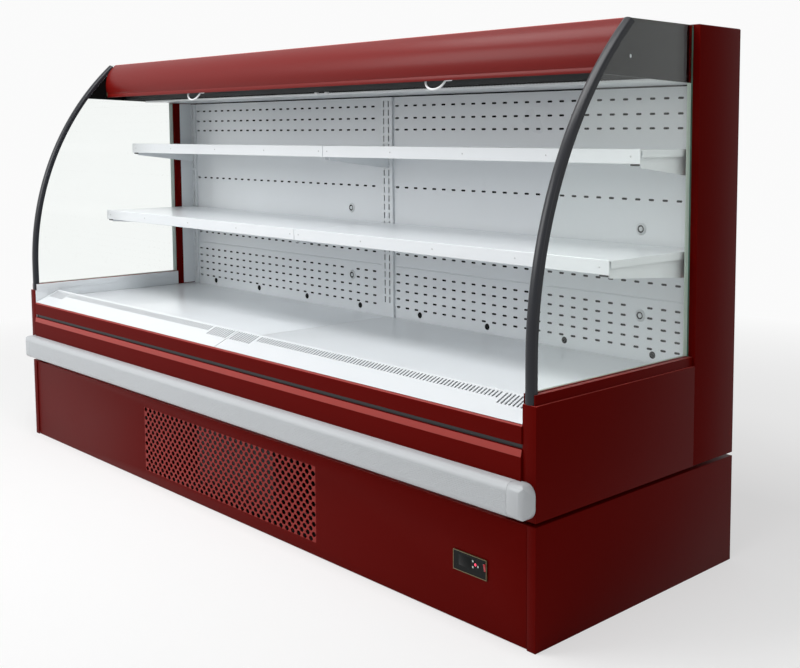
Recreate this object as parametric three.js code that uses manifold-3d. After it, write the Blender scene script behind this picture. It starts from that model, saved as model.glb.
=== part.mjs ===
// An open multideck display fridge: a low, self-contained cabinet of two joined bays, with glass ends,
// a curved canopy that holds two roll-down night blinds, four hook-on shelves over a well with lift-out
// trays, and a plug-in refrigeration unit in the base.
// Millimetres. +X runs to the shopper's right, +Y to the back, +Z up.
// While it is built, y = 0 is the front face of the base; the last lines centre it on its footprint.
import * as THREE from "three";
import { mergeVertices } from "three/addons/utils/BufferGeometryUtils.js";
import Module from "manifold-3d";

const wasm = await Module();
wasm.setup();

// ---------- driving dimensions ----------
const BAY_LENGTH = 1250; // one bay, from the middle of the cabinet to an end panel
const END_THICKNESS = 40; // an insulated end panel
const BODY_DEPTH = 770;
const BODY_HEIGHT = 1400;
const FIT = 0.3; // clearance between a piece and its seat

// Base
const BASE_HEIGHT = 284;
const SHADOW_GAP = 9; // the recessed joint between the base and the insulated body
const BASE_SHEET = 3; // base side panels
const BASE_FLANGE = 23; // their folded front and back edges
const BASE_SHELF = 87; // their folded top, which carries the body
const FLOOR_PLATE = 4;
const PANEL_SHEET = 2;
const PANEL_SETBACK = 2; // the service panel behind the base's front edge
const PANEL_TRAY = 26; // depth of the service panel's folded bottom edge
const BULKHEAD_X = -470;
const VENT = { left: -440, right: 475, bottom: 38, top: 245, slots: 8, columns: 3, rib: 14 };
const LOUVRE = { left: 200, right: BAY_LENGTH - 250, bottom: 60, pitch: 24, high: 8, count: 8 };

// Controller in the service panel
const CONTROL = { x: BAY_LENGTH - 164, z: 146.5, wide: 110, high: 48, proud: 4, box: 3, deep: 34 };
const KEY_RADIUS = 3;
const KEY_TRAVEL = 1;
const KEY_PLACES = [
  ["key_up", 12, 11.5],
  ["key_down", 12, -2.5],
  ["key_set", 29, 2.5],
];
const KEY_PROUD = 1.2;
const KEY_LENGTH = 8;
const KEY_SEAT = 2; // free depth behind a pressed key
const ROCKER = { across: 49, up: 5, wide: 6, high: 21, pivot: 6 };

// Refrigeration unit
const COMPRESSOR = { x: 700, y: 420, radius: 78, bottom: 22, top: 205, rim: 14 };
const CONDENSER = { half: 210, front: 60, thick: 40, top: 260 };
const SHROUD_DEPTH = 40;
const FAN = { radius: 98, hub: 28, blades: 5, wide: 16, shaft: 4, tip: 8, pitch: 24, chord: 0.6 };
const MOTOR = { radius: 32, length: 44, arm: 10 };
const TRAY = { left: 250 - BAY_LENGTH, right: -560, front: 250, back: BODY_DEPTH - 170, top: 60, wall: 2.5 };
const DRAIN = { radius: 16, wall: 3, rim: 10, lip: 3, end: 90 };
const GLAND = { x: 150 - BAY_LENGTH, z: 90, radius: 12, bore: 5, head: 17, proud: 2.6, inside: 18 };
const COIL_LINE = 24; // the pipe of a coil behind the coil's front
const LINES = { inset: 100, y: 300, radius: 8, small: 4, high: 420, low: 200, into: 150, clip: 6, bend: 45, sides: 10 };

// Insulated body
const WELL_FLOOR = 50;
const WELL_WALL = 40;
const WELL_FRONT = 8; // front of the well's wall
const WELL_TOP = 497;
const BACK_WALL = 70;
const SKID = { inset: 10, wide: 40, front: 40 }; // strips under the body that stand on the base
const POST_DEPTH = 180;
const END_TOP = 550;
const POST_CHAMFER = 3;

// Glass ends and their trim
const GLASS_THICKNESS = 8;
const GLASS_OUT = 12; // inner face of the glass outside the bay
const CHANNEL = { inner: -0.5, outer: 33.5, high: 23, front: 4, floor: 2 };
const TRIM = { wide: 28, deep: 16, groove: 7, round: 6, straight: 90, lean: 330.07 };
const CHEEK_THICKNESS = 4;

// Canopy
const ROOF_THICKNESS = 40;
const FASCIA = { y: 402, z: BODY_HEIGHT - 82, radius: 100, sheet: 1.5, bottom: BODY_HEIGHT - 126 };
const CEILING = { front: 465, sheet: 4, bottom: BODY_HEIGHT - 142, hem: 32 };
const GRID = { front: 382.5, high: 26, plate: 2, rise: 6 };
const BLIND_BRACKET = { half: 24, bottom: BODY_HEIGHT - 103, top: BODY_HEIGHT - 73, reach: 375, leg: 6, pin: 10 };

// Night blinds
const ROLLER = { y: 357, z: BODY_HEIGHT - 88, radius: 22, pin: 4.7, play: 2 };
const BLIND_TILT = 20.6; // degrees between the pulled cloth and the vertical
const BLIND_CLOTH = 0.6;
const BAR = { below: 40, thick: 7, high: 12, play: 7 };
const HANDLE = { wide: 85, drop: 36, rod: 6, plate: 21, plateHigh: 14 };

// Rear air duct and shelf uprights
const UPRIGHT = { face: BODY_DEPTH - BACK_WALL - 35, sheet: 2, half: 30, top: CEILING.bottom - 4 };
const SLOT = { wide: 5, high: 20, pitch: 28.5, count: 24, centreX: 12, endX: 14 };
const DUCT = { face: UPRIGHT.face + 7, sheet: 2, fold: 691 };
const LEDGE = { front: UPRIGHT.face - 15 };

// Well: evaporator, fans, trays and grilles
const DECK_TOP = 520;
const DECK_SHEET = 2;
const DECK_PLAY = 1.5; // between a tray and the middle or end of the bay
const GRILLE = { low: 505.3, ridge: 87, slope: 0.46, sheet: 2.2, hem: 2 };
const FAN_PLATE = { front: 150, sheet: 3, ledge: 80 };
const COIL = { half: BAY_LENGTH - 150, front: 205, back: 335, top: 460, lip: 4, fin: 8 };
const EVAPORATOR_FAN = { x: 620, radius: 70, rise: 84 };

// Front
const FRONT_FACE = { lip: -3, lower: -5, groove: 4, top: 505, lipBottom: 461, grooveBottom: 450, bevel: 433 };
const FRONT_FLANGE = 38;
const BUMPER = { bottom: 299, top: 380, front: -36, round: 20, cap: 15, capRound: 26 };

// Shelves
const SHELVES = [
  { row: "upper", front: UPRIGHT.face - 261, steps: 1 },
  { row: "lower", front: UPRIGHT.face - 375, steps: 10 },
];
const SHELF_TOP_UPPER = CEILING.bottom - 162; // top of the ticket strip of the highest shelf
const SHELF = { strip: 36, lip: 2.5, sheet: 2, thick: 3, back: UPRIGHT.face - 10, hem: 18, play: 1.5 };
const BRACKET = { sheet: 3, frontDrop: 41, front: 17 };
const HOOK = { gap: 0.3, tab: 8, lip: 6, hold: 1.8, reach: 3.5, below: 12, lower: 57, nib: 2 };

// ---------- places worked out from them ----------
const HALF_LENGTH = BAY_LENGTH + END_THICKNESS;
const END_DEPTH = BODY_DEPTH - POST_DEPTH; // the low end panel, from the front to the rear post
const TRIM_STRAIGHT_TO = END_TOP + TRIM.straight;
const TRIM_RADIUS = ((BODY_HEIGHT - TRIM_STRAIGHT_TO) ** 2 + TRIM.lean ** 2) / (2 * TRIM.lean);
const DRAIN_X = (TRAY.left + TRAY.right) / 2;
const DRAIN_Y = (TRAY.front + TRAY.back) / 2;
const LINES_X = BAY_LENGTH - LINES.inset;
const BODY_Z = BASE_HEIGHT + SHADOW_GAP;
const WELL_Z = BODY_Z + WELL_FLOOR;
const BACK_Y = BODY_DEPTH - BACK_WALL;
const ROOF_Z = BODY_HEIGHT - ROOF_THICKNESS;
const GLASS_X = BAY_LENGTH + GLASS_OUT;
const GLASS_MIDDLE = GLASS_X + GLASS_THICKNESS / 2;
const TRIM_X = GLASS_MIDDLE - TRIM.wide / 2;
const PANEL_Y = PANEL_SETBACK + PANEL_SHEET;
const PLATE_TOP = FLOOR_PLATE + FIT;
const DECK_SEAT = DECK_TOP - DECK_SHEET - FIT;
const FASCIA_BACK = FASCIA.y - Math.sqrt(FASCIA.radius ** 2 - (BODY_HEIGHT - FASCIA.z) ** 2);
const ROOF_FRONT = FASCIA_BACK + FIT;
const CHEEK_X = BAY_LENGTH + FIT;

// ---------- materials ----------
function material(color, roughness, metalness) {
  return new THREE.MeshStandardMaterial({ color, roughness, metalness });
}

const redPaint = material(0x6e1712, 0.35, 0.1);
const whiteEnamel = material(0xe9eaee, 0.3, 0.1);
const greyPlastic = material(0xb2b4b8, 0.5, 0);
const blackPlastic = material(0x17181a, 0.35, 0);
const whitePlastic = material(0xe6e6e6, 0.45, 0);
const safetyGlass = material(0xcfe3d8, 0.05, 0);
const galvanised = material(0x9aa0a5, 0.4, 0.8);
const blackMetal = material(0x131415, 0.45, 0.5);
const aluminium = material(0xb9bdc0, 0.4, 0.9);
const copper = material(0xb4693f, 0.3, 0.9);
const blindCloth = material(0xd7d9da, 0.85, 0);
const redPlastic = material(0xb3121a, 0.3, 0);

// ---------- joining and cutting ----------
function solid(geometry) {
  const bare = geometry.clone();
  bare.deleteAttribute("normal");
  bare.deleteAttribute("uv");
  const merged = mergeVertices(bare, 1e-4);
  return new wasm.Manifold(
    new wasm.Mesh({
      numProp: 3,
      vertProperties: merged.attributes.position.array,
      triVerts: new Uint32Array(merged.index.array),
    }),
  );
}

function geometryOf(made) {
  const mesh = made.getMesh();
  const geometry = new THREE.BufferGeometry();
  geometry.setAttribute("position", new THREE.BufferAttribute(mesh.vertProperties, 3));
  geometry.setIndex(new THREE.BufferAttribute(mesh.triVerts, 1));
  const facets = geometry.toNonIndexed();
  facets.computeVertexNormals();
  return facets;
}

function join(...pieces) {
  return geometryOf(pieces.map(solid).reduce((whole, piece) => whole.add(piece)));
}

function cut(piece, ...tools) {
  return geometryOf(tools.map(solid).reduce((whole, tool) => whole.subtract(tool), solid(piece)));
}

function common(...pieces) {
  return geometryOf(pieces.map(solid).reduce((whole, piece) => whole.intersect(piece)));
}

// ---------- basic shapes ----------
const AXIS_X = new THREE.Vector3(1, 0, 0);
const AXIS_Y = new THREE.Vector3(0, 1, 0);
const AXIS_Z = new THREE.Vector3(0, 0, 1);

function box([x0, x1], [y0, y1], [z0, z1]) {
  const block = new THREE.BoxGeometry(x1 - x0, y1 - y0, z1 - z0);
  return block.translate((x0 + x1) / 2, (y0 + y1) / 2, (z0 + z1) / 2);
}

function extruded(outline, length) {
  const shape = new THREE.Shape(outline.map(([a, b]) => new THREE.Vector2(a, b)));
  return new THREE.ExtrudeGeometry(shape, { depth: length, bevelEnabled: false, steps: 1 });
}

// A [y, z] outline run along X.
function alongX(outline, [x0, x1]) {
  const turn = new THREE.Matrix4().makeBasis(AXIS_Y, AXIS_Z, AXIS_X);
  return extruded(outline, x1 - x0).applyMatrix4(turn).translate(x0, 0, 0);
}

// An [x, z] outline run along Y.
function alongY(outline, [y0, y1]) {
  const turn = new THREE.Matrix4().makeBasis(AXIS_X, AXIS_Z, AXIS_Y.clone().negate());
  return extruded(outline, y1 - y0).applyMatrix4(turn).translate(0, y1, 0);
}

// An [x, y] outline run along Z.
function alongZ(outline, [z0, z1]) {
  return extruded(outline, z1 - z0).translate(0, 0, z0);
}

function arc(centreA, centreB, radius, from, to, steps) {
  const points = [];
  for (let i = 0; i <= steps; i++) {
    const angle = THREE.MathUtils.degToRad(from + ((to - from) * i) / steps);
    points.push([centreA + radius * Math.cos(angle), centreB + radius * Math.sin(angle)]);
  }
  return points;
}

function rodX(radius, [x0, x1], y, z, sides = 20) {
  const rod = new THREE.CylinderGeometry(radius, radius, x1 - x0, sides);
  return rod.rotateZ(-Math.PI / 2).translate((x0 + x1) / 2, y, z);
}

function rodY(radius, x, [y0, y1], z, sides = 20) {
  const rod = new THREE.CylinderGeometry(radius, radius, y1 - y0, sides);
  return rod.translate(x, (y0 + y1) / 2, z);
}

function rodZ(radius, x, y, [z0, z1], sides = 20) {
  const rod = new THREE.CylinderGeometry(radius, radius, z1 - z0, sides);
  return rod.rotateX(Math.PI / 2).translate(x, y, (z0 + z1) / 2);
}

const TUBE_STEP = 36; // length of one ring-to-ring step of a bent tube

// A tube through corner points, with its corners rounded.
function tube(radius, corners, bend = 45, step = TUBE_STEP, sides = 16) {
  const at = corners.map((corner) => new THREE.Vector3(...corner));
  const route = new THREE.CurvePath();
  let start = at[0];
  for (let i = 1; i < at.length - 1; i++) {
    const before = at[i].clone().add(at[i - 1].clone().sub(at[i]).setLength(bend));
    const after = at[i].clone().add(at[i + 1].clone().sub(at[i]).setLength(bend));
    route.add(new THREE.LineCurve3(start, before));
    route.add(new THREE.QuadraticBezierCurve3(before, at[i], after));
    start = after;
  }
  route.add(new THREE.LineCurve3(start, at[at.length - 1]));
  const section = new THREE.Shape();
  section.absarc(0, 0, radius, 0, 2 * Math.PI);
  const steps = Math.ceil(route.getLength() / step);
  return new THREE.ExtrudeGeometry(section, { extrudePath: route, steps, curveSegments: sides / 2 });
}

// An [x, depth] section swept up a path of {y, z, inY, inZ} stations; depth goes inwards from the path.
function sweep(section, path) {
  const points = [];
  for (const { y, z, inY, inZ } of path) {
    for (const [x, depth] of section) points.push(x, y + depth * inY, z + depth * inZ);
  }
  const count = section.length;
  const index = [];
  for (let station = 0; station < path.length - 1; station++) {
    for (let i = 0; i < count; i++) {
      const low = station * count;
      const next = (i + 1) % count;
      index.push(low + i, low + next, low + count + next);
      index.push(low + i, low + count + next, low + count + i);
    }
  }
  const flat = section.map(([x, depth]) => new THREE.Vector2(x, depth));
  const top = (path.length - 1) * count;
  for (const [a, b, c] of THREE.ShapeUtils.triangulateShape(flat, [])) {
    index.push(a, c, b, top + a, top + b, top + c);
  }
  const geometry = new THREE.BufferGeometry();
  geometry.setAttribute("position", new THREE.Float32BufferAttribute(points, 3));
  geometry.setIndex(index);
  return geometryOf(solid(geometry));
}

// The geometry seen in a mirror at x = 0, with each face turned back to face out.
function flipped(geometry) {
  const twin = geometry.index ? geometry.toNonIndexed() : geometry.clone();
  const at = twin.attributes.position;
  for (let i = 0; i < at.count; i += 3) {
    const [x, y, z] = [at.getX(i + 1), at.getY(i + 1), at.getZ(i + 1)];
    at.setXYZ(i + 1, at.getX(i + 2), at.getY(i + 2), at.getZ(i + 2));
    at.setXYZ(i + 2, x, y, z);
  }
  return twin.scale(-1, 1, 1);
}

// ---------- the scene graph ----------
const fridge = new THREE.Group();

function add(name, geometry, look, place = [0, 0, 0], parent = fridge) {
  const mesh = new THREE.Mesh(geometry, look);
  mesh.name = name;
  mesh.position.set(...place);
  parent.add(mesh);
  return mesh;
}

// A piece made for the right-hand end, and its mirror image at the left.
function addPair(name, geometry, look) {
  add(name + "_right", geometry, look);
  add(name + "_left", flipped(geometry), look);
}

// ---------- base ----------
function basePlate() {
  const half = HALF_LENGTH - BASE_SHEET - FIT;
  const back = BODY_DEPTH - BASE_SHEET - FIT;
  return box([-half, half], [PANEL_TRAY - 6, back], [0, FLOOR_PLATE]);
}

// Outer sheet with a front and a back flange, and the folded top that carries the body.
function baseSide() {
  const outer = HALF_LENGTH;
  const skin = outer - BASE_SHEET;
  const flange = outer - BASE_SHEET - BASE_FLANGE;
  return join(
    box([skin, outer], [0, BODY_DEPTH], [0, BASE_HEIGHT]),
    box([flange, outer], [0, BASE_SHEET], [0, BASE_HEIGHT]),
    box([flange, outer], [BODY_DEPTH - BASE_SHEET, BODY_DEPTH], [0, BASE_HEIGHT]),
    box([skin - BASE_SHELF, outer], [0, BODY_DEPTH], [BASE_HEIGHT - BASE_SHEET, BASE_HEIGHT]),
  );
}

const flangeX = HALF_LENGTH - BASE_SHEET - BASE_FLANGE; // inner edge of the base's front flanges
const panelTop = BASE_HEIGHT - BASE_SHEET - FIT;

function servicePanel() {
  const half = flangeX - 2;
  const shelfEdge = HALF_LENGTH - BASE_SHEET - BASE_SHELF - 2 * FIT;
  const tray = join(
    box([-half, half], [PANEL_SETBACK, PANEL_Y], [2, panelTop]),
    box([-half, half], [PANEL_SETBACK, PANEL_Y + PANEL_TRAY], [PLATE_TOP, PLATE_TOP + PANEL_SHEET]),
    box([-shelfEdge, shelfEdge], [PANEL_SETBACK, PANEL_Y + 14], [panelTop - PANEL_SHEET, panelTop]),
  );
  const slotPitch = (VENT.top - VENT.bottom) / VENT.slots;
  const columnPitch = (VENT.right - VENT.left) / VENT.columns;
  const openings = [];
  for (let column = 0; column < VENT.columns; column++) {
    const from = VENT.left + column * columnPitch + VENT.rib / 2;
    for (let slot = 0; slot < VENT.slots; slot++) {
      const low = VENT.bottom + slot * slotPitch + VENT.rib / 2;
      const high = low + slotPitch - VENT.rib;
      openings.push(box([from, from + columnPitch - VENT.rib], [0, PANEL_Y + 1], [low, high]));
    }
  }
  const wide = CONTROL.wide / 2 - CONTROL.box + FIT;
  const tall = CONTROL.high / 2 - CONTROL.box + FIT;
  openings.push(
    box([CONTROL.x - wide, CONTROL.x + wide], [0, PANEL_Y + 1], [CONTROL.z - tall, CONTROL.z + tall]),
  );
  return cut(tray, ...openings);
}

const backPanelY = BODY_DEPTH - BASE_SHEET - FIT - PANEL_SHEET;

function baseBackPanel() {
  const half = HALF_LENGTH - BASE_SHEET - FIT;
  const sheet = [backPanelY, backPanelY + PANEL_SHEET];
  const panel = box([-half, half], sheet, [PLATE_TOP, BASE_HEIGHT - BASE_SHEET - FIT]);
  const openings = [];
  for (let i = 0; i < LOUVRE.count; i++) {
    const low = LOUVRE.bottom + i * LOUVRE.pitch;
    openings.push(box([LOUVRE.left, LOUVRE.right], [backPanelY - 1, BODY_DEPTH], [low, low + LOUVRE.high]));
  }
  openings.push(rodY(GLAND.radius + FIT, GLAND.x, [backPanelY - 1, BODY_DEPTH], GLAND.z));
  return cut(panel, ...openings);
}

// The plain gland that the supply cord comes out of.
function cordGland() {
  const outside = backPanelY + PANEL_SHEET + FIT;
  const body = join(
    rodY(GLAND.head, GLAND.x, [outside, outside + GLAND.proud], GLAND.z, 6),
    rodY(GLAND.radius, GLAND.x, [backPanelY - GLAND.inside, outside + 1], GLAND.z),
  );
  return cut(body, rodY(GLAND.bore, GLAND.x, [0, BODY_DEPTH + 10], GLAND.z));
}

// ---------- controller ----------
const controlFront = PANEL_SETBACK - CONTROL.proud;
const rockerX = CONTROL.x + ROCKER.across;
const rockerY = controlFront + ROCKER.pivot;
const rockerZ = CONTROL.z + ROCKER.up;

function controllerHousing() {
  const { x, z, wide, high, deep } = CONTROL;
  const inner = [wide / 2 - CONTROL.box, high / 2 - CONTROL.box];
  const plate = box([x - wide / 2, x + wide / 2], [controlFront, PANEL_SETBACK - FIT], [z - high / 2, z + high / 2]);
  const rear = box([x - inner[0], x + inner[0]], [controlFront + 1, deep], [z - inner[1], z + inner[1]]);
  const bores = KEY_PLACES.map(([, across, up]) =>
    rodY(KEY_RADIUS + FIT, x + across, [controlFront - 1, controlFront + KEY_LENGTH + KEY_TRAVEL + KEY_SEAT], z + up, 16),
  );
  const half = ROCKER.wide / 2 + FIT;
  const tall = ROCKER.high / 2 + FIT;
  const well = box(
    [rockerX - half, rockerX + half],
    [controlFront - 1, rockerY + ROCKER.high / 2 + 1],
    [rockerZ - tall, rockerZ + tall],
  );
  return cut(join(plate, rear), ...bores, well);
}

function controllerKey() {
  return rodY(KEY_RADIUS, 0, [-KEY_PROUD, KEY_LENGTH], 0, 16);
}

// Made about its pivot, with its lower half pressed.
function powerRocker() {
  const r = ROCKER.high / 2 - 0.5;
  const face = [
    [-0.8 * r, 0.86 * r],
    [-0.64 * r, 0],
    [-0.56 * r, -0.86 * r],
  ];
  return alongX([...face, ...arc(0, 0, r, 270, 450, 8)], [-ROCKER.wide / 2, ROCKER.wide / 2]);
}

// ---------- refrigeration unit ----------
const headerX = CONDENSER.half + 8;
const dischargeZ = 60;

// Welded shell on a foot plate and four rubber feet, with its discharge pipe brazed on.
function compressor() {
  const { x, y, radius, bottom, top, rim } = COMPRESSOR;
  const shell = new THREE.LatheGeometry(
    [
      [0, bottom],
      [radius * 0.7, bottom + 3],
      [radius, bottom + 30],
      [radius, bottom + 85],
      [radius + 5, bottom + 88],
      [radius + 5, bottom + 88 + rim],
      [radius, bottom + 91 + rim],
      [radius, top - 45],
      [radius * 0.72, top - 10],
      [0, top],
    ].map(([r, z]) => new THREE.Vector2(r, z)),
    24,
  );
  shell.rotateX(Math.PI / 2).translate(x, y, 0);
  const feet = [];
  for (const across of [-90, 90]) {
    for (const along of [-62, 62]) feet.push(rodZ(12, x + across, y + along, [PLATE_TOP, bottom], 12));
  }
  const pipe = tube(4, [
    [x - radius + 10, y, 150],
    [x - 160, y, 150],
    [x - 160, CONDENSER.front + COIL_LINE, 150],
    [x - 160, CONDENSER.front + COIL_LINE, dischargeZ],
    [headerX + FIT, CONDENSER.front + COIL_LINE, dischargeZ],
  ]);
  return join(
    shell,
    box([x - 105, x + 105], [y - 76, y + 76], [bottom - 4, bottom + 1]),
    box([x + radius - 12, x + radius + 34], [y - 30, y + 30], [bottom + 40, bottom + 110]),
    ...feet,
    pipe,
  );
}

// A finned block between two end plates, with the bends of its pipes at one end.
function condenserCoil() {
  const { half, front, thick, top } = CONDENSER;
  const parts = [
    box([-half, half], [front, front + thick], [PLATE_TOP + 6, top - 6]),
    box([half - 3, half], [front - 3, front + thick], [PLATE_TOP, top]),
    box([-half, -half + 3], [front - 3, front + thick], [PLATE_TOP, top]),
    rodX(5, [half - 2, headerX], front + COIL_LINE, dischargeZ, 8),
    rodX(5, [half - 2, headerX], front + COIL_LINE, top - 30, 8),
  ];
  for (const low of [40, 110, 180]) {
    parts.push(
      tube(
        5,
        [
          [-half + 1, front + 20, low],
          [-half - 18, front + 20, low],
          [-half - 18, front + 20, low + 40],
          [-half + 1, front + 20, low + 40],
        ],
        12,
        12,
      ),
    );
  }
  return join(...parts);
}

// A fan motor on three arms, made round the fan's axis, with the fan's plane at y = 0.
function fanMotor(reach, from) {
  const body = rodY(MOTOR.radius, 0, [from, from + MOTOR.length], 0, 16);
  const arms = [];
  for (const turn of [90, 210, 330]) {
    const arm = box([0, reach], [from, from + MOTOR.arm], [-MOTOR.arm / 2, MOTOR.arm / 2]);
    arms.push(arm.rotateY(-THREE.MathUtils.degToRad(turn)));
    const foot = box([reach - MOTOR.arm, reach], [0, from + MOTOR.arm], [-MOTOR.arm / 2, MOTOR.arm / 2]);
    arms.push(foot.rotateY(-THREE.MathUtils.degToRad(turn)));
  }
  return [body, ...arms];
}

// Hub, shaft and pitched blades about the Y axis; the shaft points to the motor at +Y.
function fanWheel(radius) {
  const blades = [];
  for (let i = 0; i < FAN.blades; i++) {
    const half = (FAN.chord * radius) / 2;
    const blade = box([FAN.hub - 3, radius - FAN.tip], [-1.2, 1.2], [-half, half]);
    blade.rotateX(THREE.MathUtils.degToRad(FAN.pitch));
    blades.push(blade.rotateY((2 * Math.PI * i) / FAN.blades));
  }
  const hub = rodY(FAN.hub, 0, [-FAN.wide / 2, FAN.wide / 2], 0);
  return join(hub, rodY(FAN.shaft, 0, [0, FAN.wide / 2 + 26], 0, 12), ...blades);
}

const condenserFanZ = (PLATE_TOP + CONDENSER.top) / 2;
const shroudFront = CONDENSER.front + CONDENSER.thick + FIT;
const shroudBack = shroudFront + SHROUD_DEPTH;
const motorGap = 6; // between the fan's hub and its motor
const fanPlaneToMotor = FAN.wide / 2 + motorGap;

function condenserShroud() {
  const half = CONDENSER.half;
  const hollow = box([-half + 3, half - 3], [shroudFront - 1, shroudBack - 3], [PLATE_TOP + 3, CONDENSER.top - 3]);
  const housing = cut(
    box([-half, half], [shroudFront, shroudBack], [PLATE_TOP, CONDENSER.top]),
    hollow,
    rodY(FAN.radius, 0, [shroudFront, shroudBack + 1], condenserFanZ, 32),
  );
  const bridge = fanMotor(FAN.radius + 12, fanPlaneToMotor).map((piece) =>
    piece.translate(0, shroudBack - 3 + 1, condenserFanZ),
  );
  const whole = join(housing, ...bridge);
  const start = shroudBack - 2;
  return cut(whole, rodY(FAN.shaft + FIT, 0, [start, start + FAN.wide / 2 + 26 + 2], condenserFanZ, 12));
}

function evaporationTray() {
  const { left, right, front, back, top, wall } = TRAY;
  const inside = box([left + wall, right - wall], [front + wall, back - wall], [PLATE_TOP + wall, top + 1]);
  return cut(box([left, right], [front, back], [PLATE_TOP, top]), inside);
}

// ---------- insulated body ----------
function insulatedWell() {
  const outline = [
    [WELL_FRONT, BODY_Z],
    [BACK_Y, BODY_Z],
    [BACK_Y, WELL_Z],
    [WELL_FRONT + WELL_WALL, WELL_Z],
    [WELL_FRONT + WELL_WALL, WELL_TOP],
    [WELL_FRONT, WELL_TOP],
  ];
  const inner = BAY_LENGTH - SKID.inset - SKID.wide;
  const skid = box([inner, inner + SKID.wide], [SKID.front, BACK_Y - SKID.front], [BASE_HEIGHT, BODY_Z + 1]);
  const skids = [skid, flipped(skid)];
  const shell = join(alongX(outline, [-BAY_LENGTH, BAY_LENGTH]), ...skids);
  const through = [BASE_HEIGHT - 5, WELL_Z + 5];
  return cut(
    shell,
    rodZ(DRAIN.radius + FIT, DRAIN_X, DRAIN_Y, through),
    box([LINES_X - 20, LINES_X + 12], [LINES.y - 12, LINES.y + 12], through),
  );
}

function drainPipe() {
  const outer = DRAIN.radius;
  const bore = outer - DRAIN.wall;
  const top = WELL_Z + FIT + DRAIN.lip;
  const outline = [
    [bore, DRAIN.end],
    [outer, DRAIN.end],
    [outer, WELL_Z + FIT],
    [outer + DRAIN.rim, WELL_Z + FIT],
    [outer + DRAIN.rim, top],
    [bore, top],
    [bore, DRAIN.end],
  ];
  const pipe = new THREE.LatheGeometry(outline.map(([r, z]) => new THREE.Vector2(r, z)), 20);
  return pipe.rotateX(Math.PI / 2).translate(DRAIN_X, DRAIN_Y, 0);
}

// The suction and liquid lines, clipped side by side where they pass through the well's floor.
function refrigerantLines() {
  const { y, radius, small, high, low, into, clip, bend, sides } = LINES;
  const x = LINES_X;
  const back = COMPRESSOR.y + 20;
  const suctionRoute = [
    [COIL.half + COIL.fin + FIT, y, high],
    [x, y, high],
    [x, y, low],
    [x, back, low],
    [x, back, into],
    [COMPRESSOR.x + COMPRESSOR.radius + FIT + 6, back, into],
  ];
  const beside = x - radius - small - 1;
  const liquidRoute = [
    [beside, y, high - 20],
    [beside, y, low + 30],
    [beside, CONDENSER.front + COIL_LINE, CONDENSER.top - 30],
    [headerX + FIT, CONDENSER.front + COIL_LINE, CONDENSER.top - 30],
  ];
  const suction = tube(radius, suctionRoute, bend, TUBE_STEP, sides);
  const liquid = tube(small, liquidRoute, bend, TUBE_STEP, sides);
  const middle = (low + high) / 2;
  const clipped = box([beside - small - 1, x + radius + 1], [y - radius - 1, y + radius + 1], [middle, middle + clip]);
  return join(suction, liquid, clipped);
}

function endPanel() {
  const inner = BAY_LENGTH + CHANNEL.inner;
  const outer = BAY_LENGTH + CHANNEL.outer;
  const top = END_TOP + CHANNEL.high;
  const back = END_DEPTH - FIT;
  const pane = [GLASS_X - FIT, GLASS_X + GLASS_THICKNESS + FIT];
  const channel = cut(
    box([inner, outer], [CHANNEL.front, back], [END_TOP - 1, top]),
    box(pane, [CHANNEL.front - 1, back + 1], [END_TOP + CHANNEL.floor, top + 1]),
    box([TRIM_X - FIT, TRIM_X + TRIM.wide + FIT], [CHANNEL.front - 1, TRIM.deep + FIT], [END_TOP, top + 1]),
  );
  const panel = box([BAY_LENGTH, HALF_LENGTH], [0, END_DEPTH], [BODY_Z, END_TOP]);
  return join(panel, channel);
}

function rearPost() {
  const outline = [
    [BAY_LENGTH, BODY_Z],
    [HALF_LENGTH, BODY_Z],
    [HALF_LENGTH, BODY_HEIGHT - POST_CHAMFER],
    [HALF_LENGTH - POST_CHAMFER, BODY_HEIGHT],
    [BAY_LENGTH, BODY_HEIGHT],
  ];
  return alongY(outline, [END_DEPTH, BODY_DEPTH]);
}

// ---------- glass ends ----------
// The front line of a glass end, moved inwards: straight up, then an arc that leans back.
function frontLine(inset, top, steps) {
  const radius = TRIM_RADIUS - inset;
  const lean = THREE.MathUtils.radToDeg(Math.asin((top - TRIM_STRAIGHT_TO) / radius));
  return arc(TRIM_RADIUS, TRIM_STRAIGHT_TO, radius, 180, 180 - lean, steps);
}

function glassTrim() {
  const { wide, deep, groove, round } = TRIM;
  const half = wide / 2;
  const slot = GLASS_THICKNESS / 2 + FIT;
  const section = [
    [-half, deep],
    [-half, round],
    [-half + 4, round / 3],
    [-half + 9, 0],
    [half - 9, 0],
    [half - 4, round / 3],
    [half, round],
    [half, deep],
    [slot, deep],
    [slot, deep - groove],
    [-slot, deep - groove],
    [-slot, deep],
  ].map(([x, depth]) => [GLASS_MIDDLE + x, depth]);
  const stations = [{ y: 0, z: END_TOP + FIT, inY: 1, inZ: 0 }];
  for (const [y, z] of frontLine(0, BODY_HEIGHT - 1, 16)) {
    stations.push({
      y,
      z,
      inY: (TRIM_RADIUS - y) / TRIM_RADIUS,
      inZ: (TRIM_STRAIGHT_TO - z) / TRIM_RADIUS,
    });
  }
  return sweep(section, stations);
}

function endGlass() {
  const inset = TRIM.deep - TRIM.groove + FIT;
  const top = BODY_HEIGHT - 2;
  const back = END_DEPTH - FIT;
  const outline = [
    [back, END_TOP + CHANNEL.floor + FIT],
    [inset, END_TOP + CHANNEL.floor + FIT],
    ...frontLine(inset, top, 16),
    [back, top],
  ];
  return alongX(outline, [GLASS_X, GLASS_X + GLASS_THICKNESS]);
}

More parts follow.
